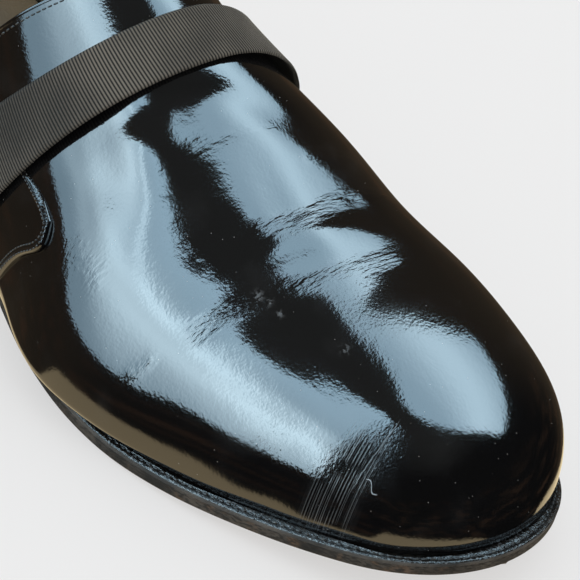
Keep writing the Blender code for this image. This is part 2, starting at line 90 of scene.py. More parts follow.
# How far the trimmed sole edge stands outside the feather line.
Edge = namedtuple("Edge", "station lateral medial")
EDGES = [
    Edge(4.0, 3.6, 3.6), Edge(30.0, 3.2, 3.3), Edge(60.0, 3.0, 3.2), Edge(90.0, 2.8, 3.2),
    Edge(120.0, 2.8, 3.4), Edge(150.0, 3.6, 3.6), Edge(175.0, 5.4, 3.8), Edge(195.0, 7.0, 4.0),
    Edge(215.0, 6.4, 4.2), Edge(240.0, 5.4, 4.4), Edge(265.0, 6.1, 4.7), Edge(281.0, 5.9, 5.0),
    Edge(293.5, 6.0, 6.0),
]
FEATHER_BACK = SECTIONS[0].station
FEATHER_LENGTH = SECTIONS[-1].station - FEATHER_BACK


def column(rows, name):
    """One named column of a table as an array."""
    return np.array([getattr(row, name) for row in rows], float)


def spline(knots, values, at):
    """Natural cubic spline: second slopes from a tridiagonal system, then a cubic between each two knots."""
    step = np.diff(knots)
    matrix = np.eye(len(knots))
    right = np.zeros(len(knots))
    inner = np.arange(1, len(knots) - 1)
    matrix[inner, inner - 1] = step[:-1]
    matrix[inner, inner] = 2 * (step[:-1] + step[1:])
    matrix[inner, inner + 1] = step[1:]
    right[inner] = 6 * np.diff(np.diff(values) / step)
    bend = np.linalg.solve(matrix, right)
    k = np.clip(np.searchsorted(knots, at) - 1, 0, len(knots) - 2)
    a = (knots[k + 1] - at) / step[k]
    b = (at - knots[k]) / step[k]
    curve = ((a ** 3 - a) * bend[k] + (b ** 3 - b) * bend[k + 1]) * step[k] ** 2 / 6
    return a * values[k] + b * values[k + 1] + curve


def smooth(share):
    """Ease from 0 to 1 with level ends: 3 s squared less 2 s cubed."""
    share = np.clip(share, 0, 1)
    return share * share * (3 - 2 * share)


def steady(knots, values, at):
    """Shape-keeping cubic: each knot's slope is the weighted harmonic mean of its neighbours', or level."""
    step = np.diff(knots)
    slope = np.diff(values) / step
    first = 2 * step[1:] + step[:-1]
    second = step[1:] + 2 * step[:-1]
    rising = slope[:-1] * slope[1:] > 0
    safe = np.where(rising, slope[:-1], 1.0), np.where(rising, slope[1:], 1.0)
    mean = np.where(rising, (first + second) / (first / safe[0] + second / safe[1]), 0.0)
    tangent = np.concatenate([slope[:1], mean, slope[-1:]])
    at = np.clip(at, knots[0], knots[-1])
    k = np.clip(np.searchsorted(knots, at) - 1, 0, len(knots) - 2)
    s = (at - knots[k]) / step[k]
    ends = values[k] * (1 + 2 * s) * (1 - s) ** 2 + values[k + 1] * s * s * (3 - 2 * s)
    return ends + step[k] * (tangent[k] * s * (1 - s) ** 2 + tangent[k + 1] * s * s * (s - 1))


def turn_of(station):
    """Place round the shoe for a station: 0 at the heel, 1 at the toe, spaced like a cosine."""
    share = np.clip((np.asarray(station, float) - FEATHER_BACK) / FEATHER_LENGTH, 0, 1)
    return np.arccos(1 - 2 * share) / np.pi


def station_of(turn):
    """Station for a place round the shoe; 1 to 2 runs back along the inner side."""
    return FEATHER_BACK + FEATHER_LENGTH * (1 - np.cos(np.pi * turn)) / 2


def loop(rows, lateral, medial, turn):
    """Closed spline through both sides of a table: lateral heel to toe, then medial back to the heel."""
    knots = turn_of(column(rows, "station"))
    knots = np.concatenate([knots, 2 - knots[-2:0:-1]])
    values = np.concatenate([lateral, medial[-2:0:-1]])
    knots = np.concatenate([knots - 2, knots, knots + 2])
    return spline(knots, np.tile(values, 3), np.mod(turn, 2))


def tread_height(station):
    """Underside of the outsole over the floor."""
    return steady(column(TREADS, "station"), column(TREADS, "height"), station)


def feather_y(turn):
    """Side place of the feather line, where upper and sole meet."""
    lateral = -column(SECTIONS, "lateral")
    lateral[-1] = FEATHER_TIP_Y
    return loop(SECTIONS, lateral, column(SECTIONS, "medial"), turn)


def edge_distance(turn):
    """How far the sole edge stands outside the feather."""
    return loop(EDGES, column(EDGES, "lateral"), column(EDGES, "medial"), turn)


def outline(turn, distance):
    """Feather line moved outwards in plan by a distance along its own normal."""
    ahead = np.stack([station_of(turn + SMALL_TURN), feather_y(turn + SMALL_TURN)], -1)
    back = np.stack([station_of(turn - SMALL_TURN), feather_y(turn - SMALL_TURN)], -1)
    way = (ahead - back) / np.linalg.norm(ahead - back, axis=-1, keepdims=True)
    out = np.stack([way[..., 1], -way[..., 0]], -1)
    here = np.stack([station_of(turn), feather_y(turn)], -1)
    return here + out * np.asarray(distance, float)[..., None]


def plate_grid(turns, inset, rim):
    """Plate round the outline: every turn runs from the spine out along the underside, up the rim's
    (distance inside the edge, height over the tread) steps and back to the spine along the top."""
    across = np.linspace(0, 1, PLATE_SPREAD)
    edge = edge_distance(turns) - inset
    spine = (outline(turns, edge) + outline(2 - turns, edge_distance(2 - turns) - inset)) / 2
    rows = []
    for share in across[:-1]:
        plan = spine + (outline(turns, edge - rim[0][0]) - spine) * share
        rows.append((plan, rim[0][1]))
    rows += [(outline(turns, edge - distance), height) for distance, height in rim]
    for share in across[-2::-1]:
        plan = spine + (outline(turns, edge - rim[-1][0]) - spine) * share
        rows.append((plan, rim[-1][1]))
    plans = np.stack([plan for plan, height in rows], axis=1)
    heights = tread_height(plans[..., 0]) + np.array([height for plan, height in rows])
    return np.concatenate([plans, heights[..., None]], -1)


def arc(centre, radius, start, end, count):
    """Points of a circular arc as (distance, height) pairs, angles in degrees."""
    turn = np.radians(np.linspace(start, end, count))
    return list(zip(centre[0] + radius * np.cos(turn), centre[1] + radius * np.sin(turn)))


def new_piece(name, grids, look, round_rows=False, round_columns=False, values=None):
    """Mesh object from grids of points in millimetres (grid, row, column): quads between neighbours, each
    closed along its rows or columns where asked, meeting points merged and faces turned outwards."""
    count, rows, columns = grids.shape[:3]
    i = np.arange(rows if round_rows else rows - 1)[:, None]
    k = np.arange(columns if round_columns else columns - 1)[None]
    corners = [(i, k), (i + 1, k), (i + 1, k + 1), (i, k + 1)]
    quads = np.stack([(a % rows) * columns + b % columns + 0 * (i + k) for a, b in corners], -1).reshape(-1, 4)
    quads = (quads[None] + np.arange(count)[:, None, None] * rows * columns).reshape(-1, 4)
    points = grids.reshape(-1, 3) - np.array([*PLAN_MIDDLE, 0.0])
    mesh = bpy.data.meshes.new(name)
    mesh.vertices.add(len(points))
    mesh.vertices.foreach_set("co", (points * MM).astype(np.float32).ravel())
    mesh.loops.add(quads.size)
    mesh.loops.foreach_set("vertex_index", quads.astype(np.int32).ravel())
    mesh.polygons.add(len(quads))
    mesh.polygons.foreach_set("loop_start", np.arange(0, quads.size, 4, dtype=np.int32))
    mesh.update(calc_edges=True)
    for key, value in (values or {}).items():
        layer = mesh.attributes.new(key, "FLOAT", "POINT")
        layer.data.foreach_set("value", np.asarray(value, np.float32).ravel())
    work = bmesh.new()
    work.from_mesh(mesh)
    bmesh.ops.remove_doubles(work, verts=work.verts, dist=WELD)
    bmesh.ops.dissolve_degenerate(work, edges=work.edges, dist=WELD)
    bmesh.ops.recalc_face_normals(work, faces=work.faces)
    work.to_mesh(mesh)
    work.free()
    mesh.materials.append(look)
    made = bpy.data.objects.new(name, mesh)
    bpy.context.scene.collection.objects.link(made)
    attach(made, "root")
    return made


class Wire:
    """A value in a material's node tree: arithmetic on it adds Math nodes, and node() adds any other."""

    def __init__(self, tree, socket):
        self.tree = tree
        self.socket = socket

    def node(self, kind, settings, sockets, out=0):
        """Add a node of a type, set its settings, then link or set its sockets; give one of its outputs."""
        made = self.tree.nodes.new("ShaderNode" + kind)
        for key, value in settings.items():
            setattr(made, key, value)
        for key, value in sockets.items():
            if isinstance(value, Wire):
                self.tree.links.new(value.socket, made.inputs[key])
            else:
                made.inputs[key].default_value = value
        return Wire(self.tree, made.outputs[out])

    def math(self, operation, *values):
        """Math node on this value and up to two more."""
        return self.node("Math", {"operation": operation}, dict(enumerate((self, *values))))

    def __add__(self, other):
        return self.math("ADD", other)

    def __sub__(self, other):
        return self.math("SUBTRACT", other)

    def __rsub__(self, other):
        return self.node("Math", {"operation": "SUBTRACT"}, {0: other, 1: self})

    def __mul__(self, other):
        return self.math("MULTIPLY", other)

    def __neg__(self):
        return self.math("MULTIPLY", -1.0)

    __radd__ = __add__
    __rmul__ = __mul__

    def split(self, axes):
        """Parts of this vector along the named axes."""
        return [self.node("SeparateXYZ", {}, {"Vector": self}, out=axis) for axis in axes]

    def ramp(self, low, high):
        """Smooth step from 0 at low to 1 at high."""
        return self.node("MapRange", {"interpolation_type": "SMOOTHSTEP"},
                         {"Value": self, "From Min": low, "From Max": high})

    def noise(self, scale, detail=2.0, stretch=(1.0, 1.0, 1.0)):
        """Noise of a feature size of one over scale metres on this coordinate, stretched by a Mapping."""
        place = self.node("Mapping", {}, {"Vector": self, "Scale": stretch})
        return self.node("TexNoise", {}, {"Vector": place, "Scale": scale, "Detail": detail})

    def mix(self, low, high):
        """Colour between two colours or wires by this factor."""
        made = self.node("Mix", {"data_type": "RGBA"}, {"Factor": self}, out=2)
        node = made.socket.node
        for socket, value in ((node.inputs[6], low), (node.inputs[7], high)):
            if isinstance(value, Wire):
                self.tree.links.new(value.socket, socket)
            else:
                socket.default_value = (*value, 1.0)
        return made

    def bump(self, distance, after=None):
        """Bump of this height; distance is the height in metres, after is an earlier bump."""
        sockets = {"Height": self, "Distance": distance, "Strength": 1.0}
        return self.node("Bump", {}, sockets if after is None else {**sockets, "Normal": after})


def new_finish(name, **constants):
    """Material with one Principled shader, its constant values on the shader's own sockets.  Gives the
    material, its Object coordinates and a function that feeds a wire to a shader socket."""
    look = bpy.data.materials.new(name)
    look.use_nodes = True
    tree = look.node_tree
    shader = tree.nodes["Principled BSDF"]
    for key, value in constants.items():
        socket = shader.inputs[key.replace("_", " ")]
        socket.default_value = (*value, 1.0) if isinstance(value, tuple) else value
    place = Wire(tree, tree.nodes.new("ShaderNodeTexCoord").outputs["Object"])
    return look, place, lambda socket, wire: tree.links.new(wire.socket, shader.inputs[socket])


def attribute(place, name):
    """A mesh attribute's value in the material that place belongs to."""
    return place.node("Attribute", {"attribute_name": name}, {}, out="Fac")


def worn_edge(place):
    """Colour of a blackened leather edge, worn paler in patches."""
    return place.noise(90.0, 4.0).ramp(0.30, 0.66).mix(SOLE_EDGE_BLACK, SOLE_EDGE_WORN)


PLATE_SPREAD = 9
SOLE_TURNS = np.linspace(0, 2, 520, endpoint=False)
WELD = 1e-6
SOLE_EDGE_BLACK = (0.012, 0.010, 0.008)
SOLE_EDGE_WORN = (0.072, 0.060, 0.047)
SOLE_EDGE_RAW = (0.110, 0.064, 0.034)
SOLE_UNDER = (0.230, 0.140, 0.070)
SOLE_UNDER_DIRT = (0.070, 0.052, 0.036)

sole_look, place, feed = new_finish("sole_leather_worn", Roughness=0.8, Specular_IOR_Level=0.25)
trimmed = attribute(place, "trimmed")
fibres = place.noise(1300.0, 4.0, (0.5, 0.5, 1.6))
edge_colour = worn_edge(place)
edge_colour = (place.noise(150.0, 3.0).ramp(0.56, 0.70) * 0.7).mix(edge_colour, SOLE_EDGE_RAW)
edge_colour = (fibres.ramp(0.42, 0.60) * 0.8).mix(edge_colour, SOLE_EDGE_BLACK)
under_colour = place.noise(45.0, 6.0).ramp(0.35, 0.7).mix(SOLE_UNDER, SOLE_UNDER_DIRT)
feed("Base Color", trimmed.mix(under_colour, edge_colour))
feed("Normal", (fibres + place.noise(2600.0) * 0.5).bump(0.00025))

rim = [(OUTSOLE_BEVEL, 0.0), *arc((OUTSOLE_BEVEL, OUTSOLE_BEVEL), OUTSOLE_BEVEL, 252, 180, 5)]
rim += [(0.0, height) for height in np.linspace(1.2, OUTSOLE_TOP - OUTSOLE_TOP_ROUND, 4)]
rim += arc((OUTSOLE_TOP_ROUND, OUTSOLE_TOP - OUTSOLE_TOP_ROUND), OUTSOLE_TOP_ROUND, 150, 90, 3)
grid = plate_grid(SOLE_TURNS, 0.0, rim)
on_rim = np.zeros(grid.shape[:2])
on_rim[:, PLATE_SPREAD:] = 1.0
outsole = new_piece("outsole_leather", grid[None], sole_look, round_rows=True, values={"trimmed": on_rim})
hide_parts("outsole")

# Welt: a narrow strip of leather round the foot of the upper, blackened and polished with wax to a crumbly shine,
# its colour flecked with pale specks of painted sheen.  A row of thick wax-coated lock stitches in a groove between
# its lip and an inner bead holds it to the outsole.
WELT_THICKNESS = 1.3
WELT_LIP = 0.75
WELT_BEAD_RISE = 0.05
WELT_GROOVE = 0.35
WELT_SEAM = 1.8
WELT_GROOVE_HALF = 0.65
WELT_FULL = 90.0
WELT_STITCH_PITCH = 2.1
STITCH_STRAY = 0.10
STITCH_TILT = 0.2
Stitch = namedtuple("Stitch", "length width height")
WELT_STITCH = Stitch(1.75, 0.75, 0.42)
TOE_UPRIGHT = 0.8
TOE_UPRIGHT_FROM = 222.0
TOE_UPRIGHT_BLEND = 24.0
LEAN_LENGTH = 45.0
LEAN_HEIGHT = 10.0
TOE_LEAN_POWER = 8
FEATHER_TIP_LEAN = 2.5
HEEL_CENTRE = 50.0
HEEL_BLEND = 60.0
HEEL_SOFTNESS = 8.0
Wall = namedtuple(
    "Wall", "station turn centre way foot_radius radius foot widest ridge fullness shift start")


def overhang(turn):
    """How far the widest line of the upper stands outside the feather."""
    out = loop(SECTIONS, column(SECTIONS, "over_lat"), column(SECTIONS, "over_med"), turn)
    return np.maximum(out, 0)


def feather_height(station):
    """Foot of the upper, resting on the outsole."""
    return tread_height(station) + OUTSOLE_THICKNESS + FIT_GAP


def wall_at(turn):
    """Sizes of the upper's section at each place round the shoe: spokes from a centre line that gathers to
    one point at the heel, with the foot's and the widest line's radius, heights, fullness and shift."""
    turn = np.mod(np.asarray(turn, float), 2)
    near = np.where(turn > 1, 2 - turn, turn)
    station = station_of(turn)
    outer_lateral = feather_y(near) - overhang(near)
    outer_medial = feather_y(2 - near) + overhang(2 - near)
    blend = smooth((station - HEEL_CENTRE) / HEEL_BLEND)
    ahead = station - HEEL_CENTRE
    soft = HEEL_CENTRE + (ahead + np.sqrt(ahead ** 2 + HEEL_SOFTNESS ** 2)) / 2
    heel_turn = turn_of(HEEL_CENTRE)
    heel_y = (feather_y(heel_turn) + feather_y(2 - heel_turn)) / 2
    centre_x = soft * (1 - blend) + station * blend
    centre_y = heel_y * (1 - blend) + (outer_lateral + outer_medial) / 2 * blend
    centre = np.stack([centre_x, centre_y], -1)
    spoke = np.stack([station, feather_y(turn)], -1) - centre
    foot_radius = np.linalg.norm(spoke, axis=-1)
    side = np.stack([np.zeros_like(station), np.where(turn < 1, -1.0, 1.0)], -1)
    pole = foot_radius < 1e-6
    way = np.where(pole[..., None], side, spoke / np.where(pole, 1, foot_radius)[..., None])
    radius = foot_radius + overhang(turn)
    foot = feather_height(station)
    rise = np.maximum(loop(SECTIONS, column(SECTIONS, "rise_lat"), column(SECTIONS, "rise_med"), turn), 0)
    knots = turn_of(column(SECTIONS, "station"))
    ridges = column(SECTIONS, "ridge")
    ridges[-1] = feather_height(SECTIONS[-1].station)
    start = -np.arccos(np.clip(foot_radius / np.maximum(radius, 1e-9), 0, 1))
    return Wall(station, turn, centre, way, foot_radius, radius, foot, foot + rise,
                spline(knots, ridges, near), spline(knots, column(SECTIONS, "fullness"), near),
                spline(knots, column(SECTIONS, "shift"), near), start)


def angle_at_height(turn, height):
    """Section angle at which the wall reaches a height over the floor."""
    w = wall_at(turn)
    low = (w.widest - w.foot) / np.maximum(np.sin(-w.start), 1e-6)
    below = np.arcsin(np.clip((height - w.widest) / np.maximum(low, 1e-6), -1, 0))
    above = np.arcsin(np.clip((height - w.widest) / np.maximum(w.ridge - w.widest, 1e-6), 0, 1))
    return np.where(height < w.widest, np.maximum(below, w.start), above)


def wall_radius(w, angle):
    """Radius of the wall at a section angle: full above the widest line, below it round at the sides of the
    foot and almost upright along the toe, where the leather is pulled tight to the welt."""
    upright = TOE_UPRIGHT * smooth((w.station - TOE_UPRIGHT_FROM) / TOE_UPRIGHT_BLEND)
    above = (1 + w.fullness) * np.cos(angle) - w.fullness * np.cos(3 * angle)
    below = 1 - (1 - upright) * (1 - np.cos(angle))
    return w.radius * np.where(angle > 0, above, below)


def toe_lean(station, height):
    """How far the toe leans ahead at a height over its foot: quickly out to its full lean above the welt, then
    slowly back."""
    front = smooth(1 + (station - SECTIONS[-1].station) / LEAN_LENGTH)
    lift = np.maximum(height, 0) / LEAN_HEIGHT
    out = 1 - (1 - np.minimum(lift, 1)) ** TOE_LEAN_POWER
    return FEATHER_TIP_LEAN * front * np.where(lift < 1, out, lift * np.exp(1 - np.maximum(lift, 1)))


def welt_inner(turn):
    """Inner edge of the welt's top: where the upper's wall passes the top of the welt."""
    station = station_of(turn)
    reach = wall_at(turn)
    top = feather_height(station) + WELT_THICKNESS + FIT_GAP
    radius = wall_radius(reach, angle_at_height(turn, top))
    return radius - reach.foot_radius + FIT_GAP + toe_lean(station, top - feather_height(station))


def raised(plan, height):
    """Plan points lifted to a height over the tread below them."""
    return np.concatenate([plan, (tread_height(plan[..., 0]) + height)[..., None]], -1)


def even_path(points, pitch, closed=False):
    """Points at equal steps of about a pitch along a line of points, by linear reading of its length."""
    line = np.concatenate([points, points[:1]]) if closed else points
    length = np.concatenate([[0], np.cumsum(np.linalg.norm(np.diff(line, axis=0), axis=1))])
    count = max(int(round(length[-1] / pitch)), 2)
    at = np.linspace(0, length[-1], count, endpoint=not closed)
    return np.stack([np.interp(at, length, line[:, axis]) for axis in range(line.shape[1])], -1)


def stitch_grids(path, normals, size, closed=False):
    """One small capsule per point of a path: a superellipse along the path and a half-buried oval across."""
    before = np.roll(path, 1, axis=0)
    after = np.roll(path, -1, axis=0)
    if not closed:
        before[0] = path[0]
        after[-1] = path[-1]
    along = after - before
    along /= np.linalg.norm(along, axis=1, keepdims=True)
    side = np.cross(normals, along)
    side /= np.linalg.norm(side, axis=1, keepdims=True)
    up = np.cross(along, side)
    share = np.linspace(-1, 1, STITCH_ROWS)
    swell = (1 - np.abs(share) ** 3) ** 0.5
    around = np.linspace(0, 2 * np.pi, STITCH_SIDES, endpoint=False)
    one = np.ones_like(around)
    part_along = share[:, None] * one * size.length / 2
    part_side = swell[:, None] * np.cos(around) * size.width / 2
    part_up = swell[:, None] * np.sin(around) * size.height
    return (path[:, None, None] + part_along[..., None] * along[:, None, None]
            + part_side[..., None] * side[:, None, None] + part_up[..., None] * up[:, None, None])


def thread_finish(name, dirt, share, gloss, twist):
    """Dark thread, dusty in patches: dirt's scale and range, roughness with its noise, twist's scale and height."""
    look, place, feed = new_finish(name, Specular_IOR_Level=0.6)
    feed("Base Color", place.noise(dirt).ramp(*share).mix(THREAD_BLACK, WELT_DUST))
    feed("Roughness", gloss[0] + gloss[1] * place.noise(gloss[2]))
    feed("Normal", place.noise(twist[0]).bump(twist[1]))
    return look


STITCH_ROWS = 6
STITCH_SIDES = 8
WELT_BLACK = (0.012, 0.011, 0.010)
WELT_DUST = (0.060, 0.056, 0.048)
# Pale silvery colour of painted sheen: glints painted into the welt's colour, not a colour of the leather.
WELT_PAINTED_SHEEN = (0.240, 0.275, 0.300)
THREAD_BLACK = (0.022, 0.022, 0.023)

welt_look, place, feed = new_finish("welt_leather_waxed", Specular_IOR_Level=0.8)
crumble = place.noise(1250.0, 3.0)
trimmed = attribute(place, "trimmed")
welt_dust_and_sheen = (place.noise(260.0, 4.0).ramp(0.50, 0.75) * 0.6).mix(WELT_BLACK, WELT_DUST)
# Painted sheen: pale silvery specks mixed into the welt's colour stand in for glints of light.
welt_dust_and_sheen = (crumble.ramp(0.52, 0.66) * place.noise(500.0).ramp(0.42, 0.60) * 0.6).mix(welt_dust_and_sheen, WELT_PAINTED_SHEEN)
feed("Base Color", trimmed.mix(welt_dust_and_sheen, worn_edge(place)))
feed("Roughness", 0.10 + 0.25 * place.noise(700.0) + 0.75 * trimmed)
feed("Normal", (crumble + place.noise(420.0) * 0.8).bump(0.00040))

low = OUTSOLE_TOP
high = OUTSOLE_THICKNESS + FIT_GAP + WELT_THICKNESS
inner = welt_inner(SOLE_TURNS) - FIT_GAP
outer = edge_distance(SOLE_TURNS)
lip = arc((WELT_LIP, high - WELT_LIP), WELT_LIP, 180, 90, 6)
trough = np.linspace(-1, 1, 7)
groove = [(WELT_SEAM + WELT_GROOVE_HALF * x, high - WELT_GROOVE * (1 - x * x)) for x in trough]
bead = [(WELT_SEAM + WELT_GROOVE_HALF + 0.6, high + WELT_BEAD_RISE * 0.8), (WELT_FULL, high + WELT_BEAD_RISE)]
profile = [(0.0, low), *lip, *groove, *bead]
rings = [raised(outline(SOLE_TURNS, np.maximum(outer - inset, inner)), height) for inset, height in profile]
rings.append(raised(outline(SOLE_TURNS, inner), low))
strip = np.stack(rings, axis=1)
on_rim = np.zeros(strip.shape[:2])
on_rim[:, :3] = 1.0
welt = new_piece("welt_strip", strip[None], welt_look, round_rows=True, round_columns=True,
                 values={"trimmed": on_rim})
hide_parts("welt")

thread_look = thread_finish("waxed_thread", 900.0, (0.35, 0.75), (0.3, 0.25, 700.0), (4000.0, 0.00005))
seam = np.maximum(outer - WELT_SEAM, inner + 0.4)
path = even_path(raised(outline(SOLE_TURNS, seam), high - WELT_GROOVE), WELT_STITCH_PITCH, closed=True)
uneven = np.random.default_rng(7)
path += uneven.normal(0.0, STITCH_STRAY, path.shape)
upright = np.array([0.0, 0.0, 1.0]) + uneven.normal(0.0, STITCH_TILT, path.shape)
stitches = new_piece("welt_stitches", stitch_grids(path, upright, WELT_STITCH, True), thread_look,
                     round_columns=True)

# Heel: lifts of sole leather pegged and glued into a stack, rasped flush and blackened, with fine lines where
# the lifts meet.  A rubber top piece with a rounded, worn rim is nailed under it.
HEEL_BREAST = 74.0
HEEL_TAPER = 2.0
HEEL_TAPER_SPLIT = 1.4
HEEL_INSET = 0.7
TOP_PIECE_THICKNESS = 6.0
HEEL_LIFTS = 3
LIFT_LINE_DEPTH = 0.22
LIFT_LINE_WIDTH = 0.035
HEEL_ROUND = 170
BREAST_STEPS = 14
HEEL_BLACK = (0.016, 0.013, 0.011)
HEEL_BROWN = (0.060, 0.038, 0.022)
RUBBER_BLACK = (0.018, 0.018, 0.018)
RUBBER_DUST = (0.075, 0.070, 0.062)


def heel_ring(inset):
    """Plan loop of the heel at an inset from the sole edge: round the back, then straight along the breast."""
    breast = turn_of(HEEL_BREAST)
    turns = np.linspace(-breast, breast, HEEL_ROUND)
    plan = outline(turns, edge_distance(turns) - inset)
    plan[[0, -1], 0] = HEEL_BREAST
    share = np.linspace(0, 1, BREAST_STEPS)[1:-1, None]
    return np.concatenate([plan, plan[-1] + (plan[0] - plan[-1]) * share])


def heel_block(insets, heights):
    """Rings of the heel from bottom to top, closed at both ends by rings drawn in to the middle."""
    rings = [np.concatenate([heel_ring(inset), height(heel_ring(inset))[:, None]], -1)
             for inset, height in zip(insets, heights)]
    ends = []
    for ring in (rings[0], rings[-1]):
        middle = ring.mean(axis=0)
        flat = ring.copy()
        flat[:, :2] = middle[:2]
        ends.append([ring + (flat - ring) * share for share in (0.5, 1.0)])
    return np.stack([*ends[0][::-1], *rings, *ends[1]])


heel_look, place, feed = new_finish("heel_stack_leather")
layers = place.noise(500.0, 3.0, (0.12, 0.12, 5.0))
feed("Base Color", (layers.ramp(0.45, 0.75) * 0.6).mix(HEEL_BLACK, HEEL_BROWN))
feed("Roughness", 0.28 + 0.35 * place.noise(160.0, 4.0))
feed("Normal", (layers + place.noise(1800.0) * 0.4).bump(0.00007))

levels = np.linspace(0, 1, 46)
lift = levels * HEEL_LIFTS
line = np.exp(-((lift - np.round(lift)) / HEEL_LIFTS / LIFT_LINE_WIDTH) ** 2)
line *= (levels > 0.1) & (levels < 0.9)
middle_inset = HEEL_INSET + HEEL_TAPER_SPLIT
insets = middle_inset + (HEEL_INSET - middle_inset) * levels + LIFT_LINE_DEPTH * line
foot = TOP_PIECE_THICKNESS + FIT_GAP
heights = [lambda plan, s=s: foot + (tread_height(plan[:, 0]) - FIT_GAP - foot) * s for s in levels]
heel = new_piece("heel_stack", heel_block(insets, heights)[None], heel_look, round_columns=True)
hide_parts("heel")

rubber_look, place, feed = new_finish("heel_rubber_worn")
grit = place.noise(300.0, 5.0)
feed("Base Color", grit.ramp(0.5, 0.8).mix(RUBBER_BLACK, RUBBER_DUST))
feed("Roughness", 0.55 + 0.3 * grit)
feed("Normal", place.noise(2200.0).bump(0.00010))
TOP_ROUND = 0.8
rounding = arc((TOP_ROUND, TOP_ROUND), TOP_ROUND, 270, 180, 6)
rounding += arc((0.4, TOP_PIECE_THICKNESS - 0.4), 0.4, 180, 90, 4)
taper = HEEL_TAPER - HEEL_TAPER_SPLIT
insets = [middle_inset + taper * (1 - z / TOP_PIECE_THICKNESS) + d for d, z in rounding]
heights = [lambda plan, z=z: np.full(len(plan), z) for d, z in rounding]
top_piece = new_piece("heel_rubber_piece", heel_block(insets, heights)[None], rubber_look, round_columns=True)
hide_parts("heel_top_piece")

# Insole: a leather board covered with a tan lining-leather sock, glued flat inside the foot of the upper, its
# edge turned down.
INSOLE_THICKNESS = 3.0
INSOLE_INSET = 4.2
SOCK_TAN = (0.205, 0.150, 0.082)
SOCK_WORN = (0.105, 0.078, 0.048)

sock_look, place, feed = new_finish("sock_leather")
wear = place.noise(26.0, 5.0)
grain = place.node("TexVoronoi", {}, {"Vector": place, "Scale": 900.0}, out="Distance")
feed("Base Color", wear.ramp(0.42, 0.7).mix(SOCK_TAN, SOCK_WORN))
feed("Roughness", 0.42 + 0.25 * wear)
feed("Normal", (grain * 0.6 + place.noise(1500.0, 3.0)).bump(0.00009))
base = OUTSOLE_THICKNESS + FIT_GAP
rim = [(0.0, base), (0.0, base + 1.5), *arc((0.8, base + INSOLE_THICKNESS - 0.8), 0.8, 180, 90, 5)]
grid = plate_grid(SOLE_TURNS[::2], edge_distance(SOLE_TURNS[::2]) + INSOLE_INSET, rim)
sock = new_piece("insole_sock", grid[None], sock_look, round_rows=True)
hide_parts("insole")

# Upper: black patent leather lasted over the foot in one plain vamp that runs back under the quarters.  The
# hard varnish mirrors its surroundings, ripples finely, and has folded in soft creases behind the toes.
# Height of the collar edge over the floor.
Collar = namedtuple("Collar", "station lateral medial")
COLLARS = [
    Collar(4.0, 80.0, 80.0), Collar(30.0, 75.0, 75.5), Collar(60.0, 66.5, 68.5),
    Collar(90.0, 62.0, 65.0), Collar(115.0, 61.5, 65.5), Collar(130.0, 62.0, 66.0),
]
THROAT_PEAK = 142.5
THROAT_REACH_LATERAL = 21.0
THROAT_REACH_MEDIAL = 30.0
THROAT_POWER = 2.4
THROAT_BLEND = math.radians(5.0)
PATENT_THICKNESS = 0.9
VAMP_TURNS = (0.42, 0.83)
LEAST_TURN = 0.0012
# Soft dents and swells that walking has left in the vamp: middle, heading of its length in plan (degrees from
# straight across), half length, half width and how deep it sinks; a negative depth is a swell.
Dent = namedtuple("Dent", "station y heading length width depth")
DENTS = [
    Dent(164.6, -46.0, -44, 30.0, 6.8, -1.00),
    Dent(174.4, -37.8, 81, 14.2, 5.2, 1.00),
    Dent(177.1, -15.3, -19, 23.4, 4.3, 0.57),
    Dent(182.4, -18.8, -10, 6.6, 4.7, 0.43),
    Dent(185.8, 2.7, 50, 5.8, 13.9, 0.82),
    Dent(193.3, 6.1, -66, 30.0, 11.3, -0.93),
    Dent(208.5, 7.3, -86, 16.3, 8.9, 0.88),
    Dent(210.1, -8.1, -3, 5.2, 14.0, 0.42),
    Dent(211.2, -21.7, -38, 16.8, 5.9, 0.56),
    Dent(217.9, 15.1, -83, 14.8, 5.8, 0.57),
    Dent(218.7, -6.0, -13, 18.9, 5.6, -1.00),
    Dent(224.7, -49.8, -81, 30.0, 5.6, 0.64),
    Dent(226.1, -44.4, -50, 22.1, 9.0, -0.51),
    Dent(229.0, 7.9, -61, 13.2, 7.6, 0.45),
    Dent(238.1, 3.3, 8, 6.2, 4.0, 0.14),
    Dent(240.2, -12.3, -84, 8.3, 4.0, -0.18),
    Dent(264.5, -19.8, -77, 30.0, 5.2, 0.55),
    Dent(264.8, -23.1, -9, 18.0, 9.9, -0.94),
]
# Bundles of fine wrinkles in the creases: a line over the vamp in plan, its half width and its strength.
Crease = namedtuple("Crease", "stations sides width strength")
CREASES = [
    Crease((186.9, 188.2, 190.1), (-22.3, -11.8, 1.3), 1.5, 0.5),
    Crease((199.5, 200.7), (7.8, 22.0), 2.0, 0.8),
    Crease((210.3, 213.3, 211.0, 212.8), (-15.6, -3.9, 12.8, 30.0), 2.4, 1.0),
    Crease((221.4, 224.2, 228.1, 229.2, 230.4), (-39.5, -26.4, -13.9, -0.8, 12.4), 2.4, 1.0),
    Crease((215.6, 217.6), (-51.6, -48.2), 1.2, 1.0),
    Crease((185.0, 189.4, 194.4), (-50.0, -50.3, -50.1), 2.6, 0.9),
    Crease((204.9, 207.3, 211.5), (-31.6, -29.9, -29.3), 1.8, 0.8),
]


def upper_point(turn, angle):
    """Outer face of the upper: an elliptic section from the feather (below 0) to the ridge (90 degrees), its
    fullness a third harmonic, its ridge shifted to the inner side and the toe leaning over the welt."""
    w = wall_at(turn)
    full = np.where(angle > 0, w.fullness, 0)
    radius = wall_radius(w, angle)
    climb = (1 + full) * np.sin(angle) + full * np.sin(3 * angle)
    low = (w.widest - w.foot) / np.maximum(np.sin(-w.start), 1e-6)
    z = w.widest + np.where(angle > 0, (w.ridge - w.widest) * climb, low * np.sin(angle))
    xy = w.centre + w.way * radius[..., None]
    y = xy[..., 1] + w.shift * np.where(angle > 0, np.sin(angle) ** 2, 0)
    x = xy[..., 0] + toe_lean(w.station, z - w.foot)
    return np.stack([x, y, z], -1)


